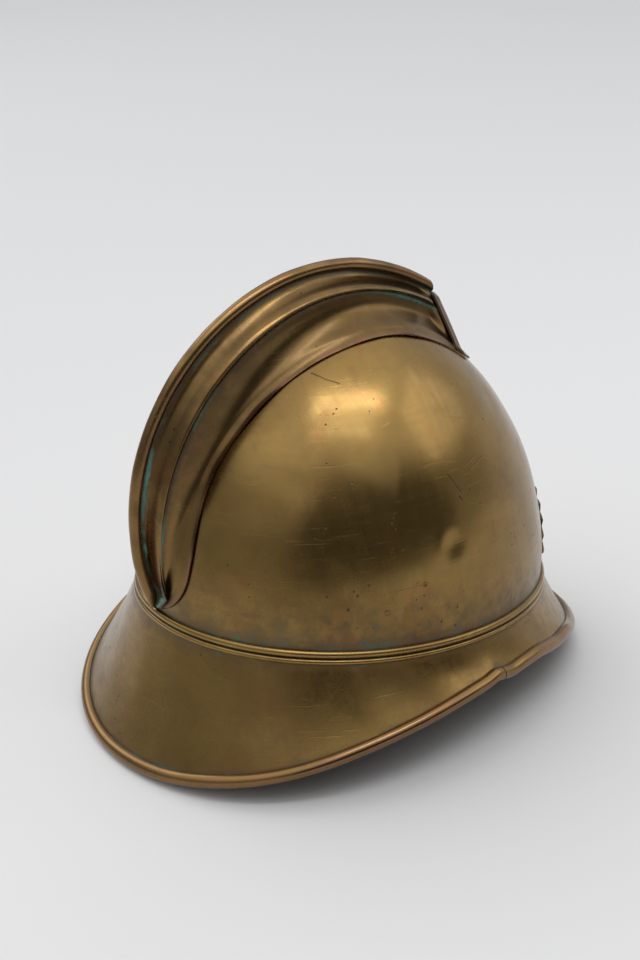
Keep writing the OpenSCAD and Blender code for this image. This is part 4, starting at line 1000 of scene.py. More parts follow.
class HELMET_OT_tongues(bpy.types.Operator):
    """Cuts the leather tongues, turns their tips round the lace and sews the hems"""

    bl_idname = "helmet.tongues"
    bl_label = "Tongues"

    def execute(self, context):
        s = sizes()
        _, _, tip, tip_z = tongue_arch()
        hem_r = s.lace_radius + 0.0005 + s.tongue_leather
        stop = tip - (hem_r - s.tongue_leather / 2) / (0.56 * s.head_length) * 180 / math.pi
        across = np.sin(np.linspace(-90, 90, 17) * math.pi / 180)
        half = s.tongue_tip / 2
        seam_rows = [(stop - 1.9, np.array([-8, -3, 3, 8.0])), (stop - 3.4, np.array([-8, -3, 3, 8.0]))]
        seam_rows.append((4.6, np.linspace(-17, 17, 11)))
        for number in range(1, s.tongues + 1):
            middle = (number - 0.5) * 360 / s.tongues
            rows = []
            for t in np.linspace(0, stop, 30):
                narrow = 1 - 0.1 * math.sin(math.radians(t))
                spread = mix(180 / s.tongues - 1.5, 11.5, smooth(t / stop) * 0.75) * narrow
                sag = 0.0007 * np.sin(np.pi * t / stop) * across**2 + 0.0003 * math.sin(t * 0.21 + number) * across
                rows.append(tongue_point(middle + spread * across, t, s.tongue_leather - sag))
            out = np.array([math.sin(math.radians(middle)), math.cos(math.radians(middle)), 0])
            side = np.array([out[1], -out[0], 0])
            side = side if np.dot(rows[-1][-1] - rows[-1][0], side) >= 0 else -side
            for turn in np.radians(np.arange(78, 300, 16)):
                height = np.array([0, 0, tip_z + hem_r * math.sin(turn)])
                rows.append(out * (s.lace_loop + hem_r * math.cos(turn)) + height + np.outer(across * half, side))
            spread = math.degrees(half / (s.lace_loop + 0.005)) * 0.82
            for t in np.linspace(stop - 1.2, stop - 4.5, 5):
                rows.append(tongue_point(middle + spread * across, t, -0.0003 - s.tongue_leather))
            margin = bump(np.abs(across), 0.9, 0.035)[None] * (np.arange(len(rows)) < 29)[:, None]
            tongue = lay_sheet(f"leather_tongue_{number}", stand(rows), crevice=margin)
            face_away(tongue, nearest(stand([[0, 0, 0.05]])))
            thicken(tongue, s.tongue_leather)
            dress(tongue, "helmet", "tongue_leather", "Tongue leather", f"tongue_{number}", edges=60)
        seams = []
        for number in range(1, s.tongues + 1):
            for t, places in seam_rows:
                a = (number - 0.5) * 360 / s.tongues + places
                place, ahead = (tongue_point(a + step, t, s.tongue_leather) for step in (0, 1))
                seams.append(sew_row(place, ahead, tongue_point(a, t, 0.01)))
        dress(join("tongue_stitches", seams), "helmet", "lace_cord", "Sewing thread")
        return {"FINISHED"}


def twisted(name, path, radius, side_way, pitch, closed=False, ends=0.0):
    """A cord of two strands along a path: the section swells and sinks as the strands go round."""
    path = np.asarray(path, float)
    run = np.concatenate([[0], np.cumsum(np.linalg.norm(np.diff(path, axis=0), axis=-1))])
    if closed:
        pitch = run[-1] / round(run[-1] / pitch)
    turn = np.linspace(0, 2 * np.pi, 19)
    swell = 0.8 + 0.2 * np.abs(np.cos(turn[None] - np.pi * run[:, None] / pitch))
    r = radius * swell * (1 + ends * smooth((run - run[-1] + 0.003) / 0.003))[:, None]
    points = ring_round(path, np.stack([r * np.cos(turn), r * np.sin(turn)], -1), side_way, closed)
    cord = lay_sheet(name, stand(points if closed else close_ends(path, points)))
    close_seams(cord, 0.00001)
    face_out(cord)
    return cord


class HELMET_OT_lace(bpy.types.Operator):
    """Draws the twisted cotton lace through the hems and knots it at the rear"""

    bl_idname = "helmet.lace"
    bl_label = "Crown lace"

    def execute(self, context):
        s = sizes()
        tip_z = tongue_arch()[3]
        a = np.linspace(0, 2 * np.pi, 301)
        loop = np.stack([s.lace_loop * np.sin(a), s.lace_loop * np.cos(a), np.full(301, tip_z)], -1)
        pieces = [twisted("loop", loop, s.lace_radius, (0, 0, 1), 0.0046, closed=True)]
        knot = np.array([0, s.lace_loop, tip_z])
        f = np.linspace(0, 1, 60)
        wrap = knot + np.stack([mix(-0.0022, 0.0022, f), 0.0017 * np.cos(f * 15.7), 0.0017 * np.sin(f * 15.7)], -1)
        pieces.append(twisted("wrap", wrap, 0.92 * s.lace_radius, (0, 0, 1), 0.0046))
        for side in (-1, 1):
            f = np.linspace(0, 1, 26)[:, None]
            tail = knot + f * 0.0108 * np.array([-0.408 * side, 0.2588, -0.875])
            tail = tail + np.sin(f * 3.1) * np.array([0.0008 * side, 0.0006, 0])
            pieces.append(twisted("tail", tail, 0.9 * s.lace_radius, (1, 0, 0.1), 0.0046, ends=0.18))
        lace = join("twisted_crown_lace", pieces)
        dress(lace, "helmet", "lace_cord", "Cotton lace", "crown_lace")
        return {"FINISHED"}


# Chin strap

BUCKLE_ANGLE, BUCKLE_LENGTH, BUCKLE_WIRE = 36.0, 0.020, 0.0012
LUG_SHEET, LUG_GAP, SIDE_GAP, EYELET_RIM, EYELET_HOLE = 0.0012, 0.0005, 0.002, 0.00045, 0.00361
KEEPER_PLACE, KEEPER_LENGTH, KEEPER_LEATHER = 0.026, 0.008, 0.0014
TIP_LENGTH, STRAP_HOLE, LOOP_HALF, PRONG_SLOT = 0.014, 0.0016, 0.0007, (0.0116, 0.0093, 0.0044)


class Strap:
    """Measures of the two straps, which hang from one pair of posts and lean forward onto the table."""

    def __init__(self):
        s = sizes()
        self.pivot = stand((0, s.pivot_back, s.pivot_height))
        wall = dome_side(s.pivot_back, s.pivot_height) - s.skull_sheet
        self.outer = wall - LUG_GAP - LUG_SHEET - SIDE_GAP - EYELET_RIM
        self.inner = self.outer - s.strap_leather
        self.middle = self.inner + s.strap_leather / 2
        self.leg = s.strap_depth - self.outer
        self.far = BUCKLE_ANGLE + 2 * math.degrees(math.asin(BUCKLE_LENGTH / 2 / self.middle))
        self.stop = 180 - self.far - 8
        half = s.strap_width / 2
        self.long_lean = self.lean(s.strap_depth, half)
        buckle_half = half + 0.0012 + 2 * BUCKLE_WIRE
        depth = self.leg + (self.middle + BUCKLE_WIRE) * math.sin(math.radians(self.far))
        self.short_lean = self.lean(depth, buckle_half)

    def lean(self, reach, half):
        return math.asin((self.pivot[2] - BESIDE) / math.hypot(reach, half)) - math.atan(half / reach)

    def arc(self, angle, r):
        a = np.radians(angle)
        return np.stack(np.broadcast_arrays(r * np.cos(a), self.leg + r * np.sin(a), 0.0), -1)

    def hanger(self, lean, side):
        """Gives the step that hangs points of the straight strap on their post, and without place only turns ways."""
        c, s = math.cos(math.pi + lean), math.sin(math.pi + lean)

        def hang(points, place=True):
            points = np.asarray(points, float)
            x, y, z = points[..., 0] * side, points[..., 1], points[..., 2]
            hung = np.stack([x, y * c - z * s, y * s + z * c], -1)
            return hung + self.pivot if place else hung

        return hang


def strap_section(half_widths, half_thick):
    """Closed section of a creased strap for each half width, as (across, outward)."""
    s = sizes()
    narrow = np.clip(half_widths / (s.strap_width / 2), 0, 1)[:, None]
    inset = np.array([0, 0.00015, 0.0006, 0.0012, 0.0015, 0.0018, 0.0038]) * narrow
    rise = np.array([0.35, 0.8, 1, 1, 0.86, 1, 1.0])[None]
    thick = np.broadcast_to(np.asarray(half_thick, float), half_widths.shape)[:, None]
    edge = half_widths[:, None] - inset
    one = np.stack([-edge, rise * thick], -1)
    two = np.stack([edge, rise * thick], -1)[:, ::-1]
    three, four = two[:, ::-1] * [1, -1], one[:, ::-1] * [1, -1]
    return np.concatenate([one, two, three, four, one[:, :1]], 1)


def strap_widths(count):
    """Half widths at the points of a strap whose upper end is round."""
    half = sizes().strap_width / 2
    widths = half * np.ones(count)
    widths[:12] = half * np.sin(np.linspace(0.02, np.pi / 2, 12))
    return widths


def lay_strap(name, path, half_widths, half_thick, hang):
    """A strap along a path, hung on its post and punched for its eyelet."""
    points = close_ends(path, ring_round(path, strap_section(half_widths, half_thick), (0, 0, 1)))
    crease = np.zeros(points.shape[1])
    crease[[4, 9, 18, 23]] = 1
    crease[[3, 5, 8, 10, 17, 19, 22, 24]] = 0.4
    strap = lay_sheet(name, hang(points), crevice=crease)
    close_seams(strap, 0.00001)
    face_out(strap)
    punch(strap, hang((path[0, 0], 0, 0)), hang((1, 0, 0), False), EYELET_HOLE)
    return strap


class HELMET_OT_straps(bpy.types.Operator):
    """Cuts the long strap with its holes and the short strap with its sewn buckle loop and keeper"""

    bl_idname = "helmet.straps"
    bl_label = "Chin strap"

    def execute(self, context):
        s = sizes()
        strap = Strap()
        half = s.strap_width / 2
        start = -half * np.cos(np.linspace(0, np.pi / 2, 12))
        leg = np.concatenate([start, np.linspace(0, strap.leg, 24)[1:]])
        leg_path = np.stack([np.full(len(leg), strap.middle), leg, 0 * leg], -1)
        self.cut_long_strap(s, strap, leg_path)
        self.cut_short_strap(s, strap, leg_path)
        self.lay_keeper(strap, half)
        return {"FINISHED"}

    def cut_long_strap(self, s, strap, leg_path):
        hang = strap.hanger(strap.long_lean, -1)
        path = np.concatenate([leg_path, strap.arc(np.linspace(0, strap.stop, 130)[1:], strap.middle)])
        run = np.concatenate([[0], np.cumsum(np.linalg.norm(np.diff(path, axis=0), axis=-1))])
        tip = np.clip((run - run[-1] + TIP_LENGTH) / TIP_LENGTH, 0, 1)
        widths = strap_widths(len(path)) * (1 - 0.96 * tip**2.2)
        long_strap = lay_strap("leather_long_strap", path, widths, s.strap_leather / 2 * (1 - 0.35 * tip), hang)
        for k in range(1, s.strap_holes + 1):
            a = strap.stop - math.degrees((k + 0.4) * s.hole_pitch / strap.middle)
            axis = np.array([math.cos(math.radians(a)), math.sin(math.radians(a)), 0])
            punch(long_strap, hang(strap.arc(a, strap.middle)), hang(axis, False), STRAP_HOLE)
        dress(long_strap, "long_strap", "strap_leather", "Strap leather", "long_strap", edges=38)

    def cut_short_strap(self, s, strap, leg_path):
        hang = strap.hanger(strap.short_lean, 1)
        over = BUCKLE_WIRE + BESIDE + LOOP_HALF
        turn = np.linspace(0, BUCKLE_ANGLE - 1.5, 44)[1:]
        lifted = strap.middle + over * smooth((turn - (BUCKLE_ANGLE - 7)) / 4.5)
        a = math.radians(BUCKLE_ANGLE)
        bar = strap.arc(BUCKLE_ANGLE, strap.middle)
        out, ahead = np.array([math.cos(a), math.sin(a), 0]), np.array([-math.sin(a), math.cos(a), 0])
        wrap = [bar + over * (math.cos(w) * out + math.sin(w) * ahead) for w in np.radians(np.linspace(0, 180, 14))]
        back = np.linspace(BUCKLE_ANGLE - 1.5, BUCKLE_ANGLE - 13, 16)
        returned = strap.arc(back, strap.middle - 0.00185 - 0.00035 * smooth((back - BUCKLE_ANGLE + 6) / 5))
        path = np.concatenate([leg_path, strap.arc(turn, lifted), wrap, returned])
        count = len(leg_path) + len(turn)
        thin = np.full(len(path), LOOP_HALF)
        thin[:count] = mix(s.strap_leather / 2, LOOP_HALF, smooth((np.arange(count) - count + 14) / 12))
        short_strap = lay_strap("leather_short_strap", path, strap_widths(len(path)), thin, hang)
        bpy.ops.object.select_all(action="DESELECT")
        bpy.ops.mesh.primitive_cube_add(size=1, location=(0, 0, 0))
        slot = bpy.context.active_object
        corners = np.array([v.co[:] for v in slot.data.vertices]) * PRONG_SLOT
        placed = bar + corners[:, :1] * out + corners[:, 1:2] * ahead + corners[:, 2:] * np.array([0, 0, 1])
        slot.data.vertices.foreach_set("co", hang(placed).ravel())
        face_out(slot)
        cut(short_strap, slot)
        dress(short_strap, "short_strap", "strap_leather", "Strap leather", "short_strap", edges=38)
        rows = []
        for angle in (BUCKLE_ANGLE - 6.5, BUCKLE_ANGLE - 11.5):
            lift = over * smooth((angle - (BUCKLE_ANGLE - 7)) / 4.5)
            place = np.repeat(strap.arc(angle, strap.outer + lift)[None], 4, 0)
            place[:, 2] = [-0.0056, -0.0019, 0.0019, 0.0056]
            up = np.array([math.cos(math.radians(angle)), math.sin(math.radians(angle)), 0])
            rows.append(sew(hang(place), [hang((0, 0, 1), False)] * 4, [hang(up, False)] * 4))
        dress(join("short_strap_stitches", rows), "short_strap", "lace_cord", "Sewing thread")

    def lay_keeper(self, strap, half):
        """Bends the leather loop round the short strap."""
        x0, x1 = strap.inner - 0.00275 - KEEPER_LEATHER / 2, strap.outer + 0.00035 + KEEPER_LEATHER / 2
        z1, r = half + 0.00035 + KEEPER_LEATHER / 2, 0.0014
        corners = [(x1 - r, z1 - r, 0), (x0 + r, z1 - r, 90), (x0 + r, -z1 + r, 180), (x1 - r, -z1 + r, 270)]
        loop = []
        for cx, cz, start in corners:
            for w in np.radians(np.linspace(start, start + 90, 7)):
                loop.append((cx + r * math.cos(w), KEEPER_PLACE, cz + r * math.sin(w)))
        h, w = KEEPER_LEATHER / 2, KEEPER_LENGTH / 2
        edge = [(0, 0), (0.0001, 0.7 * h), (0.0005, h), (0.0010, h), (0.0013, 0.8 * h), (0.0016, h)]
        shape = [(-w + x, y) for x, y in edge] + [(w - x, y) for x, y in edge[::-1]]
        shape += [(w - x, -y) for x, y in edge[1:3]] + [(-w + x, -y) for x, y in edge[2:0:-1]] + [(-w, 0)]
        crease = np.zeros(len(shape))
        crease[[4, 7]] = 1
        points = ring_round(loop + loop[:1], np.array(shape), (0, 1, 0), closed=True)
        keeper = lay_sheet("leather_keeper", strap.hanger(strap.short_lean, 1)(points), crevice=crease)
        close_seams(keeper, 0.00001)
        face_out(keeper)
        dress(keeper, "keeper", "strap_leather", "Strap leather", "strap_keeper", edges=38)


# Finishes


def tone(colour, share=1.0):
    """A colour at a share of its brightness, with its alpha."""
    return tuple(k * share for k in colour[:3]) + (1,)


def new_group(name, inputs, outputs):
    """A node group with its inputs and their plain values: gives its board and what comes in."""
    group = bpy.data.node_groups.new(name, "ShaderNodeTree")
    kinds = {1: "NodeSocketFloat", 3: "NodeSocketVector", 4: "NodeSocketColor"}
    for label, default in inputs.items():
        socket = group.interface.new_socket(name=label, in_out="INPUT", socket_type=kinds[np.size(default)])
        socket.default_value = default
    for label in outputs:
        kind = kinds[4] if label == "Color" else kinds[1]
        group.interface.new_socket(name=label, in_out="OUTPUT", socket_type=kind)
    return Board(group), group.nodes.new("NodeGroupInput").outputs


class Board:
    """Places nodes in a tree and wires them in one line each."""

    def __init__(self, tree):
        self.tree = tree

    def add(self, kind, wires=None, **settings):
        node = self.tree.nodes.new(kind)
        for setting, value in settings.items():
            setattr(node, setting, value)
        for socket, source in (wires or {}).items():
            self.wire(node.inputs[socket], source)
        return node

    def wire(self, socket, source):
        if isinstance(source, bpy.types.Node):
            source = source.outputs[0]
        if isinstance(source, bpy.types.NodeSocket):
            self.tree.links.new(source, socket)
        else:
            socket.default_value = source

    def maths(self, operation, *values):
        return self.add("ShaderNodeMath", dict(enumerate(values)), operation=operation).outputs[0]

    def plus(self, first, second):
        return self.maths("ADD", first, second)

    def minus(self, first, second):
        return self.maths("SUBTRACT", first, second)

    def rest(self, value):
        return self.maths("SUBTRACT", 1.0, value)

    def times(self, first, second):
        return self.maths("MULTIPLY", first, second)

    def most(self, first, second):
        return self.maths("MAXIMUM", first, second)

    def vector(self, operation, *values):
        return self.add("ShaderNodeVectorMath", dict(enumerate(values)), operation=operation)

    def dot(self, first, second):
        return self.vector("DOT_PRODUCT", first, second).outputs["Value"]

    def scaled(self, vector, share):
        node = self.vector("SCALE", vector)
        self.wire(node.inputs["Scale"], share)
        return node

    def cells(self, place, scale, loose=1.0, feature="F1"):
        wires = {"Vector": place, "Scale": scale, "Randomness": loose}
        return self.add("ShaderNodeTexVoronoi", wires, feature=feature).outputs["Distance"]

    def ramp(self, value, low, high, to_low=0.0, to_high=1.0):
        wires = {"Value": value, "From Min": low, "From Max": high, "To Min": to_low, "To Max": to_high}
        return self.add("ShaderNodeMapRange", wires, interpolation_type="SMOOTHSTEP").outputs[0]

    def blend(self, factor, first, second, way="MIX"):
        node = self.add("ShaderNodeMix", data_type="RGBA", blend_type=way)
        self.wire(node.inputs[0], factor)
        self.wire(node.inputs[6], first)
        self.wire(node.inputs[7], second)
        return node.outputs[2]

    def pass_on(self, factor, first, second):
        return self.add("ShaderNodeMix", {0: factor, 2: first, 3: second}, data_type="FLOAT").outputs[0]

    def noise(self, place, scale, detail=3.0, rough=0.55, bend=0.0):
        wires = {"Vector": place, "Scale": scale, "Detail": detail, "Roughness": rough, "Distortion": bend}
        return self.add("ShaderNodeTexNoise", wires).outputs[0]

    def stretched(self, place, turn, scale):
        return self.add("ShaderNodeMapping", {"Vector": place, "Rotation": turn, "Scale": scale}).outputs[0]

    def here(self):
        return self.add("ShaderNodeTexCoord").outputs["Object"]

    def mark(self, name):
        return self.add("ShaderNodeAttribute", attribute_name=name).outputs["Fac"]

    def group(self, name, wires):
        node = self.add("ShaderNodeGroup")
        node.node_tree = bpy.data.node_groups[name]
        for socket, source in wires.items():
            self.wire(node.inputs[socket], source)
        return node

    def give(self, **sources):
        out = self.tree.nodes.new("NodeGroupOutput")
        for socket, source in sources.items():
            self.wire(out.inputs[socket.replace("_", " ")], source)


def make_tarnish_group():
    """Clouded colour, dark spots, wiping streaks and fine scratches of old brass."""
    inputs = {
        "Clean": (0.3, 0.2, 0.06, 1),
        "Dull": (0.15, 0.09, 0.03, 1),
        "Stain": (0.1, 0.05, 0.02, 1),
        "Spots": 1.0,
        "Streaks": 1.0,
    }
    b, given = new_group("Old brass", inputs, ["Color", "Roughness", "Height"])
    place = b.here()
    clouds = b.ramp(b.noise(place, 13.0, 5.0, 0.6, 0.6), 0.36, 0.66)
    fine = b.noise(place, 85.0, 4.0, 0.65, 0.4)
    mottle = b.ramp(b.plus(b.times(clouds, 0.6), b.times(fine, 0.4)), 0.2, 0.85)
    colour_now = b.blend(mottle, given["Dull"], given["Clean"])
    blotch = b.ramp(b.noise(place, 31.0, 4.0, 0.6, 1.2), 0.58, 0.76)
    colour_now = b.blend(b.times(blotch, 0.28), colour_now, given["Stain"])
    wipe = b.noise(b.stretched(place, (0.3, 0.2, 0.9), (7, 7, 170)), 2.2, 3.0, 0.6)
    wipe = b.ramp(wipe, 0.35, 0.68)
    rub = b.noise(b.stretched(place, (0.9, 0.1, 0.3), (5, 120, 7)), 2.0, 3.0, 0.6)
    rub = b.ramp(rub, 0.38, 0.66)
    streak = b.times(b.times(b.plus(wipe, rub), 0.5), given["Streaks"])
    colour_now = b.blend(b.times(streak, 0.1), colour_now, given["Stain"])
    flush = b.ramp(b.noise(place, 37.0, 3.0, 0.6, 0.8), 0.55, 0.75)
    colour_now = b.blend(b.times(flush, 0.35), colour_now, (0.24, 0.085, 0.03, 1))
    pits = None
    # Cells of the small and the wide spots, how their size follows a noise, how soft they are and how deep
    for cells, patches, size, soft, share_now in (
        (240.0, 34.0, (0.49, 0.68, -0.03, 0.18), (-0.03, 0.04), 1.0),
        (34.0, 18.0, (0.56, 0.72, 0.0, 0.07), (-0.02, 0.025), 0.8),
    ):
        far = b.minus(b.cells(place, cells), b.ramp(b.noise(place, patches, 2.0), *size))
        spots = b.times(b.rest(b.ramp(far, *soft)), share_now)
        pits = spots if pits is None else b.most(pits, spots)
    pits = b.times(pits, given["Spots"])
    ink = b.blend(0.6, given["Stain"], (0.012, 0.007, 0.004, 1))
    colour_now = b.blend(b.times(pits, 0.7), colour_now, ink)
    scratch = b.noise(b.stretched(place, (0.5, 1.1, 0.2), (900, 30, 30)), 1.0, 2.0, 0.5)
    scratch_2 = b.noise(b.stretched(place, (1.3, 0.2, 0.7), (30, 30, 1100)), 1.0, 2.0, 0.5)
    fine_lines = b.most(b.ramp(scratch, 0.66, 0.74), b.ramp(scratch_2, 0.66, 0.74))
    rough = b.plus(b.ramp(clouds, 0, 1, 0.24, 0.19), b.times(fine, 0.04))
    rough = b.plus(rough, b.plus(b.times(streak, 0.05), b.times(pits, 0.25)))
    cuts = b.plus(b.times(pits, 0.6), b.times(fine_lines, 0.25))
    height = b.minus(b.times(fine, 0.35), cuts)
    b.give(Color=colour_now, Roughness=rough, Height=height)


def make_crevice_group():
    """Where grime, painted shade and green crust gather: the marked creases, broken up by noise."""
    b, given = new_group("Crease grime and shade", {"Crease": 0.0, "Green": 0.5}, ["Dirt", "Crust"])
    place = b.here()
    ragged = b.noise(place, 120.0, 4.0, 0.7, 0.5)
    patches = b.ramp(b.noise(place, 26.0, 3.0, 0.6), 0.4, 0.56)
    crease_grime_and_shade = b.ramp(b.plus(given["Crease"], b.times(b.minus(ragged, 0.5), 0.9)), 0.3, 0.95)
    crust = b.ramp(b.plus(given["Crease"], b.times(b.minus(ragged, 0.5), 1.6)), 0.62, 1.0)
    b.give(Dirt=crease_grime_and_shade, Crust=b.times(b.times(crust, patches), given["Green"]))


def make_near_groups():
    """Masks for a scratch between two points and for a ring round a point."""
    inputs = {"From": (0, 0, 0), "To": (0, 0, 0), "Out": (0, 0, 1), "Width": 0.0004}
    b, given = new_group("Scratch line", inputs, ["Mask"])
    place = b.here()
    noise = b.add("ShaderNodeTexNoise", {"Vector": place, "Scale": 260.0}).outputs["Color"]
    shaken = b.scaled(b.vector("SUBTRACT", noise, (0.5, 0.5, 0.5)), 0.0011)
    reach = b.vector("SUBTRACT", b.vector("ADD", place, shaken), given["From"])
    line = b.vector("SUBTRACT", given["To"], given["From"])
    along = b.add("ShaderNodeClamp", {"Value": b.maths("DIVIDE", b.dot(reach, line), b.dot(line, line))})
    gap = b.vector("SUBTRACT", reach, b.scaled(line, along)).outputs["Vector"]
    depth = b.scaled(given["Out"], b.times(b.dot(gap, given["Out"]), 0.9))
    far = b.vector("LENGTH", b.vector("SUBTRACT", gap, depth)).outputs["Value"]
    b.give(Mask=b.rest(b.ramp(far, b.times(given["Width"], 0.4), given["Width"])))
    b, given = new_group("Round mark", {"Middle": (0, 0, 0), "Inner": 0.001, "Outer": 0.002}, ["Mask"])
    far = b.vector("DISTANCE", b.here(), given["Middle"]).outputs["Value"]
    soft = b.times(b.minus(given["Outer"], given["Inner"]), 0.4)
    inside = b.ramp(far, given["Inner"], b.plus(given["Inner"], soft))
    outside = b.ramp(far, b.minus(given["Outer"], soft), given["Outer"])
    b.give(Mask=b.minus(inside, outside))


def new_finish(name):
    finish = bpy.data.materials.new(name)
    finish.use_nodes = True
    b = Board(finish.node_tree)
    shader = next(n for n in finish.node_tree.nodes if n.bl_idname == "ShaderNodeBsdfPrincipled")
    return b, shader


def wire_finish(b, shader, tint, rough, height, strength, distance, **plain):
    """Wires the colour, roughness and relief of a finish to its shader, and sets its plain inputs."""
    b.wire(shader.inputs["Base Color"], tint)
    b.wire(shader.inputs["Roughness"], rough)
    relief = b.add("ShaderNodeBump", {"Height": height, "Strength": strength, "Distance": distance})
    b.wire(shader.inputs["Normal"], relief.outputs["Normal"])
    for socket, value in plain.items():
        shader.inputs[socket.replace("_", " ")].default_value = value


SCRATCHES = [
    ((-0.0801, -0.0156, 0.0922), (-0.0769, -0.0246, 0.0952), 0.00045),
    ((-0.0803, -0.0203, 0.0904), (-0.0760, -0.0309, 0.0938), 0.00055),
    ((-0.0820, -0.0030, 0.0906), (-0.0862, -0.0099, 0.0808), 0.00050),
    ((-0.0870, -0.0081, 0.0792), (-0.0878, -0.0097, 0.0770), 0.00080),
    ((-0.0267, 0.0471, 0.1360), (-0.0339, 0.0432, 0.1343), 0.00045),
    ((-0.0339, 0.0432, 0.1343), (-0.0396, 0.0383, 0.1331), 0.00045),
]
RIVET_MARKS = [(-0.0956, 0.0398, 0.0270), (-0.0979, 0.0186, 0.0395)]


def brass(name, clean, dull, stain, spots, streaks, green, rough_more=0.0, marks=False, rim=0.0, creases=True):
    """Old brass. Green is how much crust the creases hold, or None where the crust mark says it."""
    c = colours()
    b, shader = new_finish(name)
    wires = {"Clean": tone(clean), "Dull": tone(dull), "Stain": tone(stain), "Spots": spots, "Streaks": streaks}
    tint, rough, height = b.group("Old brass", wires).outputs
    if rim:
        copper = b.times(b.times(b.mark("flange"), rim), b.ramp(b.noise(b.here(), 60.0, 3.0), 0.3, 0.6))
        tint = b.blend(copper, tint, tone(c.copper))
    if creases:
        # The rub mark lightens and smooths the brass: wear on high spots, and painted highlight along the bead, the
        # comb's ridge and the crest roll.
        wear_and_highlight = b.times(b.mark("rub"), b.ramp(b.noise(b.here(), 55.0, 4.0, 0.7), 0.35, 0.65))
        tint = b.blend(b.times(wear_and_highlight, 0.5), tint, tone(clean, 1.45))
        rough = b.minus(rough, b.times(wear_and_highlight, 0.08))
        # The crease mark darkens the colour: grime, and painted shade in the creases. The crust is green verdigris.
        wires = {"Crease": b.mark("crevice"), "Green": b.mark("crust") if green is None else green}
        crease_grime_and_shade, crust = b.group("Crease grime and shade", wires).outputs
        tint = b.blend(b.times(crease_grime_and_shade, 0.72), tint, tone(stain, 0.55))
        tint = b.blend(crust, tint, tone(c.verdigris))
        rough = b.plus(rough, b.times(b.plus(crease_grime_and_shade, crust), 0.22))
        height = b.plus(height, b.times(crust, 1.2))
        b.wire(shader.inputs["Metallic"], b.rest(b.most(crust, b.times(crease_grime_and_shade, 0.35))))
    else:
        shader.inputs["Metallic"].default_value = 1.0
    if marks:
        lines = None
        for start, stop, width in SCRATCHES:
            out = stand(dome_normal(np.array(start))) - stand((0, 0, 0))
            wires = {"From": tuple(stand(start)), "To": tuple(stand(stop)), "Out": tuple(out), "Width": width}
            line = b.group("Scratch line", wires).outputs["Mask"]
            lines = line if lines is None else b.most(lines, line)
        for spot in RIVET_MARKS:
            ring = b.group("Round mark", {"Middle": tuple(stand(spot)), "Inner": 0.0005, "Outer": 0.0017})
            lines = b.most(lines, b.times(ring, 0.45))
        inside = b.mark("lining")
        tint = b.blend(b.times(inside, 0.6), tint, tone(dull, 0.8))
        rough = b.plus(rough, b.times(inside, 0.16))
        tint = b.blend(b.times(lines, 0.7), tint, tone(stain, 0.3))
        height = b.minus(height, b.times(lines, 1.6))
    rough = b.plus(rough, rough_more) if rough_more else rough
    wire_finish(b, shader, tint, rough, height, 0.35, 0.00025, Coat_Weight=0.25, Coat_Roughness=0.2)


class HELMET_OT_finishes(bpy.types.Operator):
    """Mixes the brass, steel, leather and cord finishes"""

    bl_idname = "helmet.finishes"
    bl_label = "Finishes"

    def execute(self, context):
        c = colours()
        make_tarnish_group()
        make_crevice_group()
        make_near_groups()
        make_leather_group()
        dull, stain = c.brass_dull, c.brass_stain
        brass("Aged brass of the dome", c.brass, dull, stain, 1.0, 1.0, 0.2, marks=True)
        brass("Rubbed brass of the edge", c.edge_brass, dull, stain, 0.6, 0.5, 0.5, rough_more=-0.02, rim=0.4)
        brass("Brown brass of the comb", c.comb_brass, tone(c.comb_brass, 0.55), stain, 1.0, 0.8, None, 0.03, rim=0.85)
        dark = tone(c.brass, 0.62), tone(dull, 0.6), tone(stain, 0.6)
        brass("Dark brass of the rayed plate", *dark, 0.8, 0.3, 0.4, rough_more=0.06)
        brass("Brass of the fittings", c.edge_brass, dull, stain, 0.8, 0.4, 0.0, rough_more=0.02, creases=False)
        metal("Rusty iron", c.iron, (0.10, 0.035, 0.015), 0.62)
        metal("Steel of the screws", c.steel, (0.12, 0.07, 0.045), 0.38)
        leather("Liner leather", c.liner, 0.5, 1.0)
        leather("Tongue leather", c.tongue, 0.56, 1.0)
        leather("Strap leather", c.strap, 0.42, 0.8)
        thread("Sewing thread", c.thread, 900.0)
        thread("Cotton lace", c.lace, 520.0)
        return {"FINISHED"}


def metal(name, clean, rust, rough):
    b, shader = new_finish(name)
    place = b.here()
    patch = b.ramp(b.noise(place, 70.0, 5.0, 0.65, 0.5), 0.45, 0.65)
    grain = b.noise(place, 420.0, 3.0)
    b.wire(shader.inputs["Metallic"], b.ramp(patch, 0, 1, 1.0, 0.25))
    rough = b.plus(b.ramp(patch, 0, 1, rough - 0.08, rough + 0.16), b.times(grain, 0.08))
    wire_finish(b, shader, b.blend(patch, tone(clean), tone(rust)), rough, b.plus(patch, grain), 0.4, 0.0002)


def make_leather_group():
    """Grain, creases and rubbed patches of old leather."""
    b, given = new_group("Old leather", {"Tone": (0.2, 0.1, 0.05, 1), "Wear": 1.0}, ["Color", "Roughness", "Height"])
    place = b.here()
    swirl = b.add("ShaderNodeTexNoise", {"Vector": place, "Scale": 9.0}).outputs["Color"]
    folds = b.cells(swirl, 1.0)
    grain = b.cells(place, 780.0, 0.9)
    cracks = b.cells(place, 330.0, feature="DISTANCE_TO_EDGE")
    crack = b.rest(b.ramp(cracks, 0.0, 0.07))
    clouds = b.ramp(b.noise(place, 22.0, 5.0, 0.6, 0.4), 0.35, 0.68)
    rubbed = b.times(b.ramp(b.noise(place, 60.0, 4.0, 0.7), 0.5, 0.72), given["Wear"])
    hide = b.blend(b.times(clouds, 0.55), given["Tone"], (0.02, 0.009, 0.005, 1))
    hide = b.blend(b.times(rubbed, 0.3), hide, (0.36, 0.22, 0.12, 1))
    hide = b.blend(b.times(crack, 0.3), hide, (0.012, 0.006, 0.004, 1))
    rough = b.plus(b.times(clouds, 0.12), b.times(crack, 0.12))
    height = b.plus(b.minus(b.times(grain, 0.7), crack), b.times(folds, 0.2))
    b.give(Color=hide, Roughness=rough, Height=height)


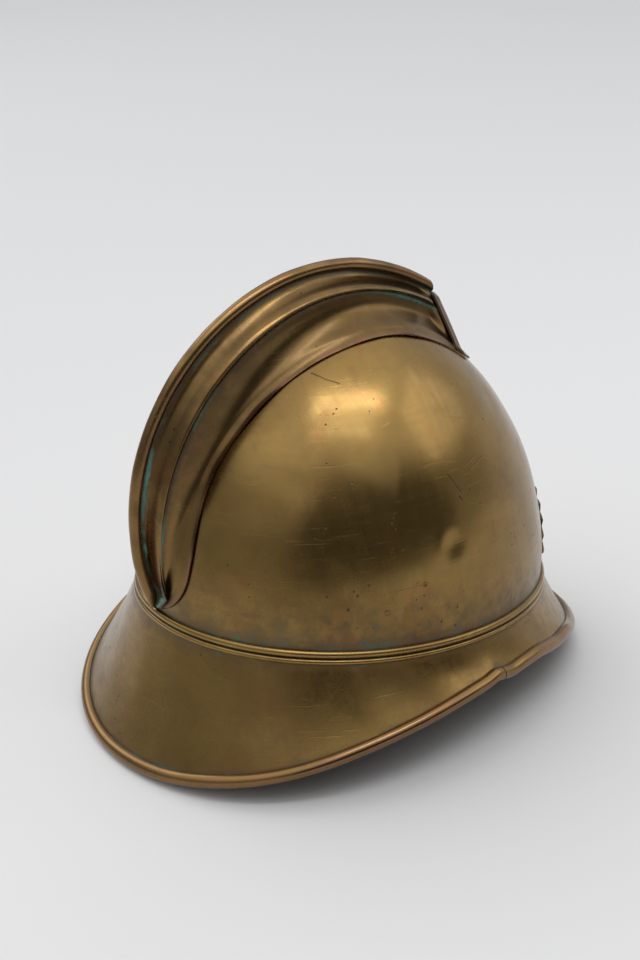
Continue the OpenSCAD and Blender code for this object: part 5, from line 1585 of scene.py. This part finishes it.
def leather(name, hide, rough, wear):
    b, shader = new_finish(name)
    tint, more, height = b.group("Old leather", {"Tone": tone(hide), "Wear": wear}).outputs
    tint = b.blend(b.times(b.mark("crevice"), 0.6), tint, tone(hide, 0.25))
    wire_finish(b, shader, tint, b.plus(more, rough), height, 0.5, 0.0003, Sheen_Weight=0.08, Sheen_Roughness=0.5)


def thread(name, clean, twist):
    b, shader = new_finish(name)
    place = b.here()
    wires = {"Vector": place, "Scale": twist / 3, "Distortion": 1.5, "Detail": 2.0}
    strands = b.add("ShaderNodeTexWave", wires, bands_direction="DIAGONAL").outputs["Fac"]
    soil = b.ramp(b.noise(place, 90.0, 4.0, 0.6), 0.4, 0.7)
    tint = b.blend(b.times(strands, 0.35), tone(clean), tone(clean, 0.45))
    tint = b.blend(b.times(soil, 0.6), tint, tone(clean, 0.45))
    wire_finish(b, shader, tint, b.ramp(soil, 0, 1, 0.78, 0.9), strands, 0.5, 0.0002, Sheen_Weight=0.2)


class HELMET_OT_fittings(bpy.types.Operator):
    """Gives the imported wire, screws, rivets, ring, lugs and buckle their finishes"""

    bl_idname = "helmet.fittings"
    bl_label = "Fittings"

    def execute(self, context):
        finishes = {
            "Rusty iron": "edge_wire",
            "Steel of the screws": "comb_screws comb_washers comb_nuts",
            "Brass of the fittings": "comb_saddles badge_studs badge_nuts liner_ring liner_brackets liner_rivets"
            " strap_lug_right strap_lug_left long_strap_eyelet short_strap_eyelet buckle_frame buckle_prong",
            "Aged brass of the dome": "lug_rivets",
        }
        for finish, names in finishes.items():
            for name in names.split():
                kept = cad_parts[name].data.materials
                kept.clear()
                kept.append(bpy.data.materials[finish])
        return {"FINISHED"}


# Stage

CAMERA_PLACE = (-0.6350, 0.4102, 0.4718)
CAMERA_RIGHT = (-0.5549, -0.8308, -0.0438)
CAMERA_UP = (0.3307, -0.2686, 0.9047)
CAMERA_LOOK = (0.7634, -0.4875, -0.4238)
LAMPS = [  # name, place, size, power and the way of the longer side
    ("overhead_strip", (-0.60, 0.0, 1.75), (1.3, 0.27), 6, (0.57, 0.82, 0)),
    ("second_strip", (-1.0, 0.30, 1.75), (1.3, 0.2), 1.8, (0.57, 0.82, 0)),
    ("window_wall", (-1.2, -1.9, 1.6), (1.8, 1.2), 7.5, (1.9, -1.2, 0)),
    ("left_fill", (2.4, 0.6, 1.9), (1.8, 1.2), 9, (-0.6, 2.4, 0)),
]
DARK_PLACES = [  # direction of each dark thing that the dome mirrors, with its soft rim as cosines
    ((-0.908, 0.33, 0.259), 0.857, 0.946),
    ((-0.92, -0.372, 0.122), 0.891, 0.97),
    ((-0.998, 0.035, -0.05), 0.92, 0.978),
]
LIT_WALL, LIT_SIDE = (0.09, -0.98, 0.17), (0.93, 0.36, 0.0)
BACKDROP = 0.56


def soft_lamp(name, place, size, power, long_way):
    """A rectangular lamp that faces the helmet, with its longer side along long_way."""
    bpy.ops.object.select_all(action="DESELECT")
    bpy.ops.object.light_add(type="AREA", location=place)
    lamp = bpy.context.active_object
    lamp.name = lamp.data.name = name
    lamp.data.shape = "RECTANGLE"
    lamp.data.size, lamp.data.size_y = size
    lamp.data.energy = power
    back = (Vector(place) - Vector((0, 0, 0.1))).normalized()
    long_way = (Vector(long_way) - back * back.dot(Vector(long_way))).normalized()
    lamp.rotation_euler = Matrix((long_way, back.cross(long_way), back)).transposed().to_euler()


class HELMET_OT_stage(bpy.types.Operator):
    """Lays the pale table, sets the lamps and the room, and places the camera where the photograph was taken"""

    bl_idname = "helmet.stage"
    bl_label = "Stage"

    def execute(self, context):
        bpy.ops.object.select_all(action="DESELECT")
        bpy.ops.mesh.primitive_plane_add(size=14, location=(0, 0, -0.0002))
        table = context.active_object
        table.name = table.data.name = "pale_table"
        _, shader = new_finish("Pale table")
        for socket, value in (("Base Color", tone(colours().floor)), ("Roughness", 0.75), ("Specular IOR Level", 0.2)):
            shader.inputs[socket].default_value = value
        table.data.materials.append(bpy.data.materials["Pale table"])
        for lamp in LAMPS:
            soft_lamp(*lamp)
        self.light_room(context.scene)
        bpy.ops.object.camera_add(location=CAMERA_PLACE)
        camera = context.active_object
        look = Matrix((CAMERA_RIGHT, CAMERA_UP, tuple(-k for k in CAMERA_LOOK))).transposed()
        camera.rotation_euler = look.to_euler()
        camera.data.sensor_fit = "VERTICAL"
        camera.data.sensor_height = 36
        camera.data.lens = 56.04
        camera.data.clip_start = 0.01
        context.scene.camera = camera
        context.scene.view_settings.view_transform = "Standard"
        return {"FINISHED"}

    def light_room(self, scene):
        """Sets what the camera sees behind the table, what the brass mirrors and what lights the table."""
        room = bpy.data.worlds.new("Plain room")
        room.use_nodes = True
        scene.world = room
        b = Board(room.node_tree)
        back = next(n for n in room.node_tree.nodes if n.bl_idname == "ShaderNodeBackground")
        way = b.add("ShaderNodeTexCoord").outputs["Generated"]
        shade = None
        for direction, loose, tight in DARK_PLACES:
            near = b.ramp(b.dot(way, direction), loose, tight)
            shade = near if shade is None else b.most(shade, near)
        height = b.add("ShaderNodeSeparateXYZ", {"Vector": way}).outputs["Z"]
        sky = b.plus(b.ramp(height, 0.35, 0.9, 0.39, 1.35), b.ramp(b.dot(way, LIT_WALL), 0.8, 0.985, 0, 0.4))
        mirrored = b.times(sky, b.ramp(shade, 0, 1, 1.0, 0.25))
        spread = b.times(b.ramp(b.dot(way, LIT_SIDE), -0.8, 0.8, 0.08, 1.2), b.ramp(height, 0.0, 0.45, 0.3, 1.1))
        rays = b.add("ShaderNodeLightPath").outputs
        level = b.pass_on(b.most(rays["Is Glossy Ray"], rays["Is Transmission Ray"]), spread, mirrored)
        b.wire(back.inputs["Strength"], b.pass_on(rays["Is Camera Ray"], level, BACKDROP))
        back.inputs["Color"].default_value = (0.985, 0.99, 1.0, 1)


STEPS = [
    HELMET_OT_finishes, HELMET_OT_stage, HELMET_OT_skull, HELMET_OT_edge_rolls, HELMET_OT_comb, HELMET_OT_comb_plate,
    HELMET_OT_badge, HELMET_OT_sweatband, HELMET_OT_tongues, HELMET_OT_lace, HELMET_OT_straps, HELMET_OT_fittings,
]


class HELMET_PT_sidebar(bpy.types.Panel):
    """Lists the steps that build the helmet"""

    bl_idname = "HELMET_PT_sidebar"
    bl_label = "Brass helmet"
    bl_space_type = "VIEW_3D"
    bl_region_type = "UI"
    bl_category = "Helmet"

    def draw(self, context):
        for step in STEPS:
            self.layout.operator(step.bl_idname)


CLASSES = [HelmetSizes, HelmetColours, *STEPS, HELMET_PT_sidebar]


def register():
    for kind in CLASSES:
        bpy.utils.register_class(kind)
    bpy.types.Scene.helmet_sizes = PointerProperty(type=HelmetSizes)
    bpy.types.Scene.helmet_colours = PointerProperty(type=HelmetColours)


def unregister():
    del bpy.types.Scene.helmet_sizes
    del bpy.types.Scene.helmet_colours
    for kind in reversed(CLASSES):
        bpy.utils.unregister_class(kind)


def main():
    register()
    for step in STEPS:
        group, name = step.bl_idname.split(".")
        getattr(getattr(bpy.ops, group), name)()


if __name__ == "__main__":
    main()
